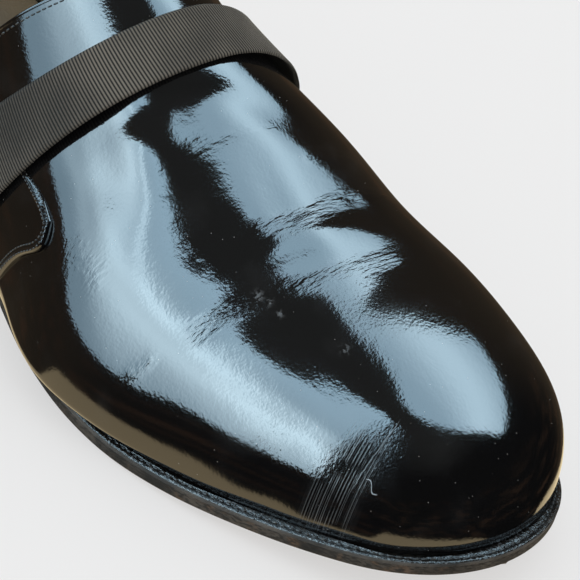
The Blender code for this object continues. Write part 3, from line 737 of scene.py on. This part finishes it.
def upper_normal(turn, angle):
    """Outward normal of the upper's face from small steps along and up it; ahead at the very tip."""
    along = upper_point(turn + SMALL_TURN, angle) - upper_point(turn - SMALL_TURN, angle)
    over = upper_point(turn, angle + SMALL_TURN) - upper_point(turn, angle - SMALL_TURN)
    normal = np.cross(along, over)
    size = np.linalg.norm(normal, axis=-1, keepdims=True)
    return np.where(size > 1e-12, normal / np.maximum(size, 1e-12), np.array([1.0, 0.0, 0.0]))


def upper_offset(turn, angle, distance):
    """The upper's face moved out along its normal."""
    return upper_point(turn, angle) + upper_normal(turn, angle) * np.asarray(distance)[..., None]


def collar_angle(turn):
    """Section angle of the collar edge along the sides and round the heel."""
    turn = np.mod(turn, 2)
    rows = column(COLLARS, "station")
    lateral = steady(rows, column(COLLARS, "lateral"), station_of(turn))
    medial = steady(rows, column(COLLARS, "medial"), station_of(turn))
    return angle_at_height(turn, np.where(turn < 1, lateral, medial))


def top_angle(turn):
    """Section angle at which the upper ends: the collar behind, the throat ahead, the ridge in the vamp."""
    turn = np.mod(turn, 2)
    station = station_of(turn)
    collar = collar_angle(turn)
    reach = np.where(turn < 1, THROAT_REACH_LATERAL, THROAT_REACH_MEDIAL)
    behind = np.clip((THROAT_PEAK - station) / reach, 0, 1)
    throat = np.arccos(behind ** (1 / THROAT_POWER))
    gap = throat - collar
    blended = (throat + collar + np.sqrt(gap ** 2 + THROAT_BLEND ** 2)) / 2
    return np.where(station >= THROAT_PEAK - 1e-6, np.pi / 2, np.minimum(blended, np.pi / 2))


def dent_depth(points):
    """How far the dents sink the face: the sum of oval bells in plan, each along its own heading."""
    sink = np.zeros(points.shape[:-1])
    for row in DENTS:
        east, north = math.cos(math.radians(row.heading)), math.sin(math.radians(row.heading))
        ahead = points[..., 0] - row.station
        aside = points[..., 1] - row.y
        along = (aside * east - ahead * north) / row.length
        across = (ahead * east + aside * north) / row.width
        sink += row.depth * np.exp(-along ** 2 - across ** 2)
    return sink


def crease_share(points):
    """How strongly the face wrinkles: a bell of its distance in plan from each crease line."""
    share = np.zeros(points.shape[:-1])
    for row in CREASES:
        line = even_path(np.stack([row.stations, row.sides], -1), 0.8)
        gaps = [np.hypot(points[..., 0] - station, points[..., 1] - y) for station, y in line]
        share = np.maximum(share, row.strength * np.exp(-(np.min(gaps, axis=0) / row.width) ** 2))
    return share


def half_turns(back, vamp, toe, throat):
    """Places along one side: few behind the waist, many over the vamp, and the throat's own curve."""
    behind = np.linspace(1, 0, throat) ** THROAT_POWER
    own = turn_of(THROAT_PEAK - THROAT_REACH_LATERAL * behind)
    plain = np.concatenate([np.linspace(0, VAMP_TURNS[0], back, endpoint=False),
                            np.linspace(*VAMP_TURNS, vamp, endpoint=False), np.linspace(VAMP_TURNS[1], 1, toe)])
    keep = np.abs(plain[:, None] - own[None]).min(axis=1) > LEAST_TURN
    return np.sort(np.concatenate([plain[keep], own]))


def upper_grid(half, rows, inwards):
    """Whole wall of the upper at a depth under its face, with its creases, as a ring of section columns."""
    turns = np.concatenate([half, 2 - half[-2:0:-1]])
    start = wall_at(turns).start
    angle = start[:, None] + (top_angle(turns) - start)[:, None] * np.linspace(0, 1, rows)
    turn = np.repeat(turns[:, None], rows, axis=1)
    face = upper_point(turn, angle)
    return face - upper_normal(turn, angle) * (inwards + dent_depth(face))[..., None]


def add_wall(piece, thickness):
    """Give an open sheet its thickness inwards with Solidify."""
    wall = piece.modifiers.new("wall", "SOLIDIFY")
    wall.thickness = thickness * MM
    wall.offset = -1.0
    wall.use_even_offset = True
    return piece


PATENT_BLACK = (0.0035, 0.0035, 0.0038)
PATENT_HAZE = (0.030, 0.031, 0.032)
DUST_GREY = (0.30, 0.29, 0.27)
PATENT_SPECULAR = 1.0


def patent_finish(name, worn=None):
    """Black varnished leather: mirror gloss, fine ripple, faint haze and dust, and the marks that worn gives
    for a place as a paler share, an earlier bump and how strong the ripple is."""
    look, place, feed = new_finish(name, Specular_IOR_Level=PATENT_SPECULAR)
    pale, folded, uneven = worn(place) if worn else (None, None, 1.0)
    haze = place.noise(70.0, 5.0).ramp(0.50, 0.85)
    specks = place.node("TexVoronoi", {}, {"Vector": place, "Scale": 380.0}, out="Distance")
    dust = 1.0 - specks.ramp(0.02, 0.05)
    colour = dust.mix((haze * 0.25).mix(PATENT_BLACK, PATENT_HAZE), DUST_GREY)
    gloss = 0.075 + 0.05 * haze + 0.4 * dust
    feed("Base Color", pale.mix(colour, SCUFF_PALE) if worn else colour)
    feed("Roughness", gloss + 0.30 * pale if worn else gloss)
    ripple = place.noise(1400.0) + place.noise(420.0) * 1.2
    feed("Normal", (ripple * uneven).bump(0.000020, folded))
    return look


def between(value, low, high, soft):
    """1 where a wire lies between two values, easing to 0 outside them."""
    return value.ramp(low - soft, low + soft) * (1.0 - value.ramp(high - soft, high + soft))


def vamp_wear(place):
    """Wear of the vamp in the shoe's own millimetres: fine parallel scuffs down the toe's outer side, one long
    pale scratch, a short white hair, dull smudges, and wrinkles drawn out across the shoe in its creases."""
    x, y, z = [part * (1 / MM) for part in place.split("XYZ")]
    station = x + PLAN_MIDDLE[0]
    side = y + PLAN_MIDDLE[1]
    lane = station + SCUFF_LEAN * side
    comb = lane.node("TexNoise", {"noise_dimensions": "1D"}, {"W": lane, "Scale": 2.4, "Detail": 2.0})
    breaks = place.noise(160.0).ramp(0.32, 0.52)
    scuffs = comb.ramp(0.48, 0.62) * breaks * between(lane, *SCUFF_LANES, 2.5) * between(z, *SCUFF_HEIGHTS, 2.5)
    scuffs = scuffs * (1.0 - side.ramp(*SCUFF_INNER_SIDES))
    stray = place.noise(260.0) * 0.8 - 0.4
    scratch = (station - SCRATCH_STATION + SCRATCH_LEAN * (side - SCRATCH_SIDES[1]) + stray).math("ABSOLUTE")
    scratch = (1.0 - scratch.ramp(0.05, 0.20)) * between(side, *SCRATCH_SIDES, 1.0)
    along = station - HAIR_STATIONS[0]
    hair = (side - HAIR_SIDE - HAIR_LEAN * along - (along * 1.7).math("SINE") * HAIR_CURL).math("ABSOLUTE")
    hair = (1.0 - hair.ramp(0.03, 0.10)) * between(station, *HAIR_STATIONS, 0.2)
    smudges = 0.0
    for row in SMUDGES:
        ahead, aside = station - row.station, side - row.side
        smudges = ((ahead * ahead + aside * aside) * (-1 / row.size ** 2)).math("EXPONENT") + smudges
    smudges = smudges * place.noise(900.0, 3.0).ramp(0.45, 0.60)
    wrinkles = place.noise(1000.0, 3.0, (1.0, 0.20, 0.45)) * attribute(place, "fold")
    pale = (scuffs * 0.40 + scratch * 0.45 + hair * 2.0 + smudges * 0.6).math("MINIMUM", 1.0)
    return pale, wrinkles.bump(0.00022), 0.3 + 0.7 * z.ramp(12.0, 24.0)


SCUFF_PALE = (0.150, 0.165, 0.175)
SCUFF_LEAN = 0.385
SCUFF_LANES = (252.0, 265.0)
SCUFF_HEIGHTS = (11.0, 36.0)
SCUFF_INNER_SIDES = (-12.0, -6.0)
SCRATCH_STATION = 269.0
SCRATCH_LEAN = 0.24
SCRATCH_SIDES = (-25.8, -13.3)
HAIR_STATIONS = (273.2, 277.0)
HAIR_SIDE = -23.5
HAIR_LEAN = 0.16
HAIR_CURL = 0.35
Smudge = namedtuple("Smudge", "station side size")
SMUDGES = [
    Smudge(224.2, -24.1, 1.2), Smudge(227.0, -22.8, 0.9), Smudge(230.8, -22.1, 0.8), Smudge(247.2, -14.2, 1.1),
]
upper_look = patent_finish("patent_vamp", vamp_wear)
grid = upper_grid(half_turns(34, 140, 30, 22), 104, 0.0)
upper = new_piece("upper_patent", grid[None], upper_look, round_rows=True, values={"fold": crease_share(grid)})
add_wall(upper, PATENT_THICKNESS)
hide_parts("upper")

# Lining: thin tan leather glued inside the upper from the topline down to the insole and sewn in at the
# topline, a little grimy from wear.
LINING_DEPTH = 1.0
LINING_THICKNESS = 0.9
LINING_TAN = (0.150, 0.118, 0.062)
LINING_DARK = (0.072, 0.058, 0.034)

lining_look, place, feed = new_finish("lining_leather_tan")
grime = place.noise(40.0, 5.0)
feed("Base Color", grime.ramp(0.4, 0.72).mix(LINING_TAN, LINING_DARK))
feed("Roughness", 0.45 + 0.2 * grime)
feed("Normal", place.noise(1300.0, 3.0).bump(0.00008))
lining = new_piece("upper_lining", upper_grid(half_turns(40, 50, 16, 16), 44, LINING_DEPTH)[None], lining_look,
                   round_rows=True)
add_wall(lining, LINING_THICKNESS)

# Topline: the edge of the upper skived and folded over the lining all round the collar and throat, with one
# row of fine stitches just below it.
FOLD_WIDTH = 2.3
FOLD_HEIGHT = 1.5
FOLD_STEP = 1.0
FOLD_SIDES = 16
TOPLINE_SEAM = 1.9
TOPLINE_STITCH_PITCH = 1.7
TOPLINE_STITCH = Stitch(1.4, 0.5, 0.28)


def collar_path(depth, below):
    """Line along the collar and throat, at a depth under the face and a distance below the edge, with the
    face's outward and upward ways there."""
    peak = turn_of(THROAT_PEAK)
    behind = np.linspace(0, 1, 200) ** THROAT_POWER
    side = turn_of(THROAT_PEAK - THROAT_REACH_MEDIAL * behind)
    near = np.concatenate([side, np.linspace(side[-1], 0, 220)[1:]])
    turn = np.concatenate([-near, near[-2::-1]])
    turn = np.mod(turn[turn <= peak], 2)
    angle = top_angle(turn)
    face = upper_point(turn, angle)
    normal = upper_normal(turn, angle)
    up = upper_point(turn, angle + SMALL_TURN) - upper_point(turn, angle - SMALL_TURN)
    along = np.roll(face, -1, axis=0) - np.roll(face, 1, axis=0)
    along /= np.linalg.norm(along, axis=1, keepdims=True)
    rise = np.cross(normal, along)
    rise *= np.sign((rise * up).sum(axis=1, keepdims=True) + 1e-12)
    rise /= np.linalg.norm(rise, axis=1, keepdims=True)
    return np.concatenate([face - normal * depth - rise * below, normal, rise], axis=1)


fold_look = patent_finish("patent_topline")
line = even_path(collar_path((PATENT_THICKNESS + LINING_DEPTH) / 2, 0.2), FOLD_STEP, closed=True)
around = np.linspace(0, 2 * np.pi, FOLD_SIDES, endpoint=False)
fold = (line[:, None, :3] + np.cos(around)[None, :, None] * line[:, None, 3:6] * FOLD_WIDTH / 2
        + np.sin(around)[None, :, None] * line[:, None, 6:9] * FOLD_HEIGHT / 2)
topline = new_piece("topline_fold", fold[None], fold_look, round_rows=True, round_columns=True)

fine_thread_look = thread_finish("fine_thread", 1200.0, (0.4, 0.7), (0.35, 0.2, 900.0), (5000.0, 0.00004))
line = even_path(collar_path(-0.02, TOPLINE_SEAM), TOPLINE_STITCH_PITCH, closed=True)
topline_stitches = new_piece(
    "topline_stitches", stitch_grids(line[:, :3], line[:, 3:6], TOPLINE_STITCH, True), fine_thread_look,
    round_columns=True)

# Quarters: patent panels lapped over the vamp on both sides, their free edge folded and rolled into a soft rim,
# meeting at the heel seam.  Two close rows of fine stitches follow the whole free edge.
QUARTER_THICKNESS = 1.1
QUARTER_GAP = 0.6
QUARTER_SEAT = 0.15
QUARTER_EDGE_ROUND = 0.7
QUARTER_RIM = 2.3
QUARTER_RIM_FOOT = 0.5
QUARTER_RIM_FALL = 1.5
QUARTER_RIM_DIP = 0.38
QUARTER_FOOT = 4.4
QUARTER_BELOW_TOP = math.radians(1.6)
QUARTER_SPREAD = 1.6
QUARTER_SEAM = 0.0012
QUARTER_COLUMNS = 190
QUARTER_ROWS = 90
QUARTER_STITCH_PITCH = 1.25
QUARTER_STITCH = Stitch(1.0, 0.45, 0.26)
QUARTER_STITCH_INSETS = {"outer": 0.7, "inner": 2.7}
QUARTER_STITCH_LOW = 12.0
QUARTER_STITCH_BACK = 122.0
# Front edge of a quarter from the welt up to the tip of its lobe, and its upper edge from the collar forward
# to that tip: station and section angle in degrees.
Brink = namedtuple("Brink", "station angle")
QUARTER_FRONT = [
    Brink(156.0, -24.0), Brink(164.0, -2.0), Brink(170.3, 12.2), Brink(175.3, 18.8), Brink(176.9, 23.2),
    Brink(174.6, 27.0),
]
QUARTER_TOP = [
    Brink(100.0, 60.0), Brink(114.0, 18.8), Brink(130.0, 20.0), Brink(148.0, 21.6), Brink(162.0, 25.2),
    Brink(169.5, 27.2), Brink(174.6, 27.0),
]
MEDIAL_FRONT_SHIFT = -18.0


def quarter_places(medial, back, share):
    """Turn and section angle over a quarter: rows fan from the front edge into even steps of the wall."""
    rows = np.linspace(0, 1, len(QUARTER_FRONT))
    shift = MEDIAL_FRONT_SHIFT if medial else 0.0
    front_station = spline(rows, column(QUARTER_FRONT, "station"), share) + shift
    front_angle = np.radians(spline(rows, column(QUARTER_FRONT, "angle"), share))
    front_turn = turn_of(front_station)[None]
    seam = turn_of(FEATHER_BACK + QUARTER_SEAM)
    turn = front_turn + (seam - front_turn) * back[:, None]
    turn = 2 - turn if medial else turn
    foot = angle_at_height(turn, feather_height(station_of(turn)) + QUARTER_FOOT)
    brow = steady(column(QUARTER_TOP, "station"), column(QUARTER_TOP, "angle"), station_of(turn) - shift)
    top = np.minimum(collar_angle(turn) - QUARTER_BELOW_TOP, np.radians(brow))
    spread = smooth(back[:, None] * QUARTER_SPREAD)
    level = np.clip(front_angle, foot, top) * (1 - spread) + (foot + (top - foot) * share) * spread
    level[:, 0] = foot[:, 0]
    level[:, -1] = top[:, -1]
    return turn, level


def run_length(points, axis):
    """Length along each line of a grid from its first point."""
    step = np.linalg.norm(np.diff(points, axis=axis), axis=-1)
    first = np.zeros_like(np.take(step, [0], axis=axis))
    return np.cumsum(np.concatenate([first, step], axis=axis), axis=axis)


def quarter_shell(medial):
    """Outer face of a quarter, its edges rolled down to the vamp as a quarter circle and standing as a soft rim
    round the face, sloping along the upper edge, and its seat under it, as one closed loop of rows; also the
    face with its outward way, and the distances behind the front edge and below the upper edge."""
    back = np.linspace(0, 1, QUARTER_COLUMNS) ** 1.5
    share = (1 - np.cos(np.pi * np.linspace(0, 1, QUARTER_ROWS))) / 2
    turn, level = quarter_places(medial, back, share)
    face = upper_point(turn, level)
    normal = upper_normal(turn, level)
    behind = run_length(face, 0)
    above = run_length(face, 1)
    below = above[:, -1:] - above
    edge = np.minimum(np.minimum(behind, behind[-1] - behind), np.minimum(above, below))
    rolled = np.sqrt(1 - (1 - np.clip(edge / QUARTER_EDGE_ROUND, 0, 1)) ** 2)
    slope = np.clip(below / QUARTER_RIM, 0, 1)
    rolled = np.minimum(rolled, rolled * QUARTER_RIM_FOOT + (1 - QUARTER_RIM_FOOT) * slope)
    inside = np.minimum(below, behind + QUARTER_RIM - QUARTER_EDGE_ROUND) - QUARTER_RIM
    rolled -= QUARTER_RIM_DIP * smooth(inside / QUARTER_RIM_FALL)
    height = QUARTER_SEAT + (QUARTER_GAP + QUARTER_THICKNESS - QUARTER_SEAT) * rolled
    outer = face + normal * height[..., None]
    seat = face + normal * QUARTER_SEAT
    return np.concatenate([outer, seat[:, ::-1]], axis=1), np.concatenate([outer, normal], -1), behind, below


def reading(values, distance, inset):
    """Values along the first axis where the distance first reaches an inset, by linear reading between steps."""
    after = np.maximum(np.argmax(distance >= inset, axis=0), 1)[None]
    low = np.take_along_axis(distance, after - 1, 0)[0]
    high = np.take_along_axis(distance, after, 0)[0]
    share = ((inset - low) / np.maximum(high - low, 1e-9))[..., None]
    first = np.take_along_axis(values, (after - 1)[..., None], 0)[0]
    second = np.take_along_axis(values, after[..., None], 0)[0]
    return first + (second - first) * share


quarter_look = patent_finish("patent_quarter")
for side, medial in (("lateral", False), ("medial", True)):
    shell, lines, behind, below = quarter_shell(medial)
    quarter = new_piece("quarter_patent_" + side, shell[None], quarter_look, round_columns=True)
    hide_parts("quarter_" + side)
    for row, inset in QUARTER_STITCH_INSETS.items():
        front = reading(lines, behind, inset)
        front_below = reading(below[..., None], behind, inset)[:, 0]
        upper_edge = reading(lines[:, ::-1].swapaxes(0, 1), below[:, ::-1].T, inset)
        upper_behind = reading(behind[:, ::-1].T[..., None], below[:, ::-1].T, inset)[:, 0]
        front = front[(front_below > inset) & (front[:, 2] > QUARTER_STITCH_LOW)]
        upper_edge = upper_edge[(upper_behind > inset) & (upper_edge[:, 0] > QUARTER_STITCH_BACK)]
        line = even_path(np.concatenate([front, upper_edge]), QUARTER_STITCH_PITCH)
        seam_row = new_piece("quarter_stitches_" + side + "_" + row,
                             stitch_grids(line[:, :3], line[:, 3:], QUARTER_STITCH), fine_thread_look,
                             round_columns=True)

# Ribbon: a strip of black grosgrain, ribbed across its width, stretched over the instep and down both sides,
# with plain cut ends a little above the welt.  It lies on the quarters and stands clear of the vamp.
RIBBON_FRONT = 172.1
RIBBON_SWEEP = 22.0
RIBBON_BEND = {False: 1.0, True: 2.0}
RIBBON_WIDTH_RIDGE = 14.2
RIBBON_WIDTH_SIDE = 20.6
RIBBON_THICKNESS = 0.85
RIBBON_STAND_OFF = 2.3
RIBBON_FOOT = 6.0
RIBBON_DROP = 1.35
RIB_PITCH = 0.88
RIB_HEIGHT = 0.16
RIB_STEPS = 8
RIBBON_ACROSS = 22
RIBBON_EDGE = 0.55


def ribbon_places(medial, share, across):
    """Turn and section angle on one half of the ribbon: share runs from its cut end up to the ridge and across
    from the front edge to the rear, the band sweeping back as it goes down."""
    bend = RIBBON_BEND[medial]
    station = RIBBON_FRONT - RIBBON_SWEEP * RIBBON_DROP ** bend - RIBBON_WIDTH_SIDE * across
    turn = 2 - turn_of(station) if medial else turn_of(station)
    foot = angle_at_height(turn, feather_height(station) + RIBBON_FOOT)
    level = foot + (math.pi / 2 - foot) * share
    narrowing = (RIBBON_WIDTH_SIDE - RIBBON_WIDTH_RIDGE) * np.maximum(np.sin(level), 0)
    sweep = RIBBON_SWEEP * (1 - np.sin(level)) ** bend
    station = RIBBON_FRONT - sweep - (RIBBON_WIDTH_SIDE - narrowing) * across
    return (2 - turn_of(station) if medial else turn_of(station)), level


def ribbon_half(medial, across):
    """Half of the ribbon at even rib steps of its own length: face, outward way and length from the ridge."""
    fine = np.linspace(0, 1, 400)
    turn, level = ribbon_places(medial, fine, np.full(400, 0.5))
    length = run_length(upper_offset(turn, level, np.full(400, RIBBON_STAND_OFF)), 0)
    step = RIB_PITCH / RIB_STEPS
    from_ridge = np.arange(0, length[-1], step)
    share = np.interp(length[-1] - from_ridge, length, fine)
    turn, level = ribbon_places(medial, share[:, None] + 0 * across, across + 0 * share[:, None])
    return upper_point(turn, level), upper_normal(turn, level), from_ridge


across = np.concatenate([np.linspace(0, 1, RIBBON_ACROSS), np.linspace(1, 0, RIBBON_ACROSS // 2)])[None]
top = np.concatenate([np.ones(RIBBON_ACROSS), np.zeros(RIBBON_ACROSS // 2)])[None]
halves = []
for medial in (False, True):
    face, outward, from_ridge = ribbon_half(medial, across)
    signed = from_ridge if medial else -from_ridge
    rib = np.abs(np.sin(np.pi * signed / RIB_PITCH))[:, None] ** 0.7
    edge = np.minimum(across, 1 - across) * RIBBON_WIDTH_SIDE
    rounded = np.sqrt(1 - (1 - np.clip(edge / RIBBON_EDGE, 0, 1)) ** 2)
    body = RIBBON_THICKNESS / 2 + top * rounded * (RIBBON_THICKNESS / 2 + RIB_HEIGHT * rib)
    body = np.where(top > 0, body, RIBBON_THICKNESS / 2 - rounded * RIBBON_THICKNESS / 2)
    shape = face + outward * (RIBBON_STAND_OFF + body)[..., None]
    run = np.repeat(signed[:, None], across.shape[1], axis=1)
    halves.append((shape, run) if medial else (shape[:0:-1], run[:0:-1]))
band = np.concatenate([shape for shape, run in halves])
band_run = np.concatenate([run for shape, run in halves])
band_across = np.repeat(across * RIBBON_WIDTH_SIDE, len(band), axis=0)

# Black of the grosgrain, also used as painted shade in the grooves between the ribs.
GROSGRAIN_BLACK_AND_SHADE = (0.010, 0.010, 0.009)
# Fibre colour on the rib crests, standing for lit crests against the painted groove shade.
GROSGRAIN_LIT_FIBRE = (0.168, 0.152, 0.126)
ribbon_look, place, feed = new_finish("grosgrain_black", Roughness=0.8, Specular_IOR_Level=0.12)
run = attribute(place, "run")
over = attribute(place, "over")
# 1 on the rib crests and 0 in the grooves: the colour below uses it to paint shade into the grooves.
crest = (run * (math.pi / RIB_PITCH)).math("SINE").math("ABSOLUTE")
weft = ((over * (2 * math.pi / 0.36)).math("SINE") * 0.5 + 0.5) * crest
fuzz = place.noise(3000.0, 3.0)
# Painted sheen and shade: a soft noise brightens and darkens the ribbon like cloth sheen, and its outer side is
# painted darker from 22 to 62 mm out from the ridge.
painted_sheen_and_shade = (place.noise(45.0).ramp(0.30, 0.70) * 0.55 + 0.55) * (0.62 + 0.38 * run.ramp(-62.0, -22.0))
feed("Base Color", (crest.ramp(0.30, 0.95) * painted_sheen_and_shade + fuzz * 0.3 - 0.15).mix(GROSGRAIN_BLACK_AND_SHADE, GROSGRAIN_LIT_FIBRE))
feed("Normal", (weft * 0.6 + fuzz).bump(0.00006))
ribbon = new_piece("ribbon_band", band[None], ribbon_look, round_columns=True,
                   values={"run": band_run, "over": band_across})
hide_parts("ribbon")

# Floor: a plain pale sweep of studio paper that the shoe stands on, lit through from below so that its
# shadow stays faint.
FLOOR_HALF = 6.0
FLOOR_GREY = (0.30, 0.30, 0.30)
FLOOR_SHADE = (0.295, 0.295, 0.295)
FLOOR_GLOW = 0.56
floor_look, place, feed = new_finish("studio_paper", Roughness=0.9, Specular_IOR_Level=0.1,
                                     Emission_Color=(1.0, 1.0, 1.0), Emission_Strength=FLOOR_GLOW)
feed("Base Color", place.noise(3.0).ramp(0.2, 0.8).mix(FLOOR_SHADE, FLOOR_GREY))
mesh = bpy.data.meshes.new("floor")
mesh.from_pydata([(x, y, 0.0) for x, y in ((-1, -1), (1, -1), (1, 1), (-1, 1))], [], [(0, 1, 2, 3)])
mesh.transform(Matrix.Scale(FLOOR_HALF, 4))
mesh.materials.append(floor_look)
floor = bpy.data.objects.new("floor", mesh)
floor.visible_glossy = False
bpy.context.scene.collection.objects.link(floor)

# Light: an even pale surround for the paper and cloth, dim and warm to mirror reflections, and two large
# pale-blue windows that only the varnish mirrors: one tall at the outer side, one high at the inner side.  A
# smaller window stands behind the outer one.
scene = bpy.context.scene
scene.view_settings.view_transform = "Standard"
scene.view_settings.look = "None"
SURROUND = 0.98
ROOM_FLOOR = (1.20, 0.96, 0.58)
ROOM_CEILING = (0.090, 0.095, 0.092)
ROOM_WALL = (0.078, 0.058, 0.036)
ROOM_CLUTTER = (0.150, 0.082, 0.045)
world = bpy.data.worlds.new("surround")
scene.world = world
world.use_nodes = True
tree = world.node_tree
tree.nodes.clear()
mirrored = Wire(tree, tree.nodes.new("ShaderNodeLightPath").outputs["Is Glossy Ray"])
way = Wire(tree, tree.nodes.new("ShaderNodeTexCoord").outputs["Generated"])
ahead, inward, upward = way.split("XYZ")
horizon = 0.37 + 0.19 * ahead.ramp(0.12, 0.26) - 0.17 * ahead.ramp(0.36, 0.56)
horizon = horizon + 0.24 * (-ahead).ramp(0.30, 0.60) + 0.10 * inward.ramp(0.35, 0.65)
floor_share = (-upward - horizon).ramp(0.0, 0.05)
wall_share = 1.0 - ahead.ramp(-0.3, 0.3)
room = wall_share.mix((0.003, 0.003, 0.002), ROOM_WALL)
clutter = way.noise(5.0, 3.0, (1.0, 1.0, 3.0)).ramp(0.50, 0.68) * (1.0 - upward.ramp(0.10, 0.50))
room = (clutter * 0.7).mix(room, ROOM_CLUTTER)
room = upward.ramp(0.70, 0.97).mix(room, ROOM_CEILING)
room = floor_share.mix(room, ROOM_FLOOR)
even = way.node("Background", {}, {"Color": (1.0, 1.0, 1.0, 1.0), "Strength": SURROUND})
dim = way.node("Background", {}, {"Color": room, "Strength": 1.0})
both = way.node("MixShader", {}, {0: mirrored, 1: even, 2: dim})
sky = tree.nodes.new("ShaderNodeOutputWorld")
tree.links.new(both.socket, sky.inputs["Surface"])

# One row per window: the way to it (azimuth 0 on the outer side, 90 ahead of the toe), its corners on a plane
# one distance off as shares of that distance, brightness and its slopes, and brighter streaks.
WINDOW_DISTANCE = 2.0
WINDOW_LEAST = 2.8
WINDOW_BLUE = (0.54, 0.82, 1.03)
WINDOW_WHITE = (0.70, 0.90, 1.00)
Streak = namedtuple("Streak", "gain place slope width upright")
Window = namedtuple("Window", "name azimuth elevation corners level across up streaks")
WINDOWS = [
    Window("outer_window", -8.0, 32.0, [(0.514, -0.567), (0.272, 0.857), (-0.872, -0.365)],
           2.36, 1.19, 4.29,
           [Streak(3.80, 0.176, -0.876, 0.300, True), Streak(3.4, 0.308, -0.490, 0.040, True),
            Streak(1.60, -0.030, 0.000, 0.140, False), Streak(1.60, 0.200, 0.000, 0.100, False)]),
    Window("inner_window", 172.0, 60.0, [(0.273, -0.311), (0.207, 0.318), (-0.134, 0.598), (-0.402, -0.345)],
           4.10, -0.84, 0.93, [Streak(3.20, -0.036, 0.251, 0.224, False)]),
    Window("rear_window", -64.0, 32.0, [(0.24, -0.42), (0.24, 0.42), (-0.40, 0.42), (-0.40, -0.42)],
           5.0, 0.0, 0.0, []),
]
CAMERA_TARGET = (218.47, -6.48, 40.0)
stand = (np.array(CAMERA_TARGET) - np.array([*PLAN_MIDDLE, 0.0])) * MM
for row in WINDOWS:
    look, place, feed = new_finish(row.name + "_glow", Base_Color=(0.0, 0.0, 0.0), Specular_IOR_Level=0.0,
                                   Emission_Strength=1.0)
    side, rise = [part * (1 / WINDOW_DISTANCE) for part in place.split("XY")]
    glow = (row.level + row.across * side + row.up * rise).math("MAXIMUM", WINDOW_LEAST)
    bright = 0.0 * side
    for streak in row.streaks:
        one, other = (side, rise) if streak.upright else (rise, side)
        off = (one - streak.place - streak.slope * other) * (1 / streak.width)
        bright = bright + streak.gain * (-off * off).math("EXPONENT")
    tint = place.node("CombineColor", {}, {k: glow * WINDOW_BLUE[k] + bright * WINDOW_WHITE[k] for k in range(3)})
    feed("Emission Color", tint)
    mesh = bpy.data.meshes.new(row.name)
    corners = np.array(row.corners) * WINDOW_DISTANCE
    mesh.from_pydata([(a, b, 0.0) for a, b in corners], [], [tuple(range(len(corners)))])
    mesh.materials.append(look)
    window = bpy.data.objects.new(row.name, mesh)
    tilt = Matrix.Rotation(math.radians(row.azimuth), 4, "Z") @ Matrix.Rotation(
        math.pi / 2 - math.radians(row.elevation), 4, "X")
    window.matrix_world = Matrix.Translation(stand) @ tilt @ Matrix.Translation((0, 0, WINDOW_DISTANCE))
    window.visible_camera = False
    window.visible_diffuse = False
    window.visible_shadow = False
    scene.collection.objects.link(window)

# Camera: a long lens ahead of the outer side, a little above the shoe and rolled, close on the forepart, so
# that the picture's edges cut off the heel and the opening.
CAMERA_AZIMUTH = math.radians(39.89)
CAMERA_ELEVATION = math.radians(34.70)
CAMERA_ROLL = math.radians(17.54)
CAMERA_DISTANCE = 800.0
PIXELS_PER_MM = 4.016
IMAGE_PIXELS = 580
SENSOR = 36.0

lens = bpy.data.cameras.new("camera")
lens.sensor_width = SENSOR
lens.lens = PIXELS_PER_MM * CAMERA_DISTANCE / IMAGE_PIXELS * SENSOR
lens.clip_start = 0.01
camera = bpy.data.objects.new("camera", lens)
turn = Matrix.Rotation(CAMERA_AZIMUTH, 4, "Z") @ Matrix.Rotation(math.pi / 2 - CAMERA_ELEVATION, 4, "X")
camera.matrix_world = (Matrix.Translation(stand) @ turn @ Matrix.Rotation(CAMERA_ROLL, 4, "Z")
                       @ Matrix.Translation((0, 0, CAMERA_DISTANCE * MM)))
bpy.context.scene.collection.objects.link(camera)
scene.camera = camera

bpy.context.view_layer.update()
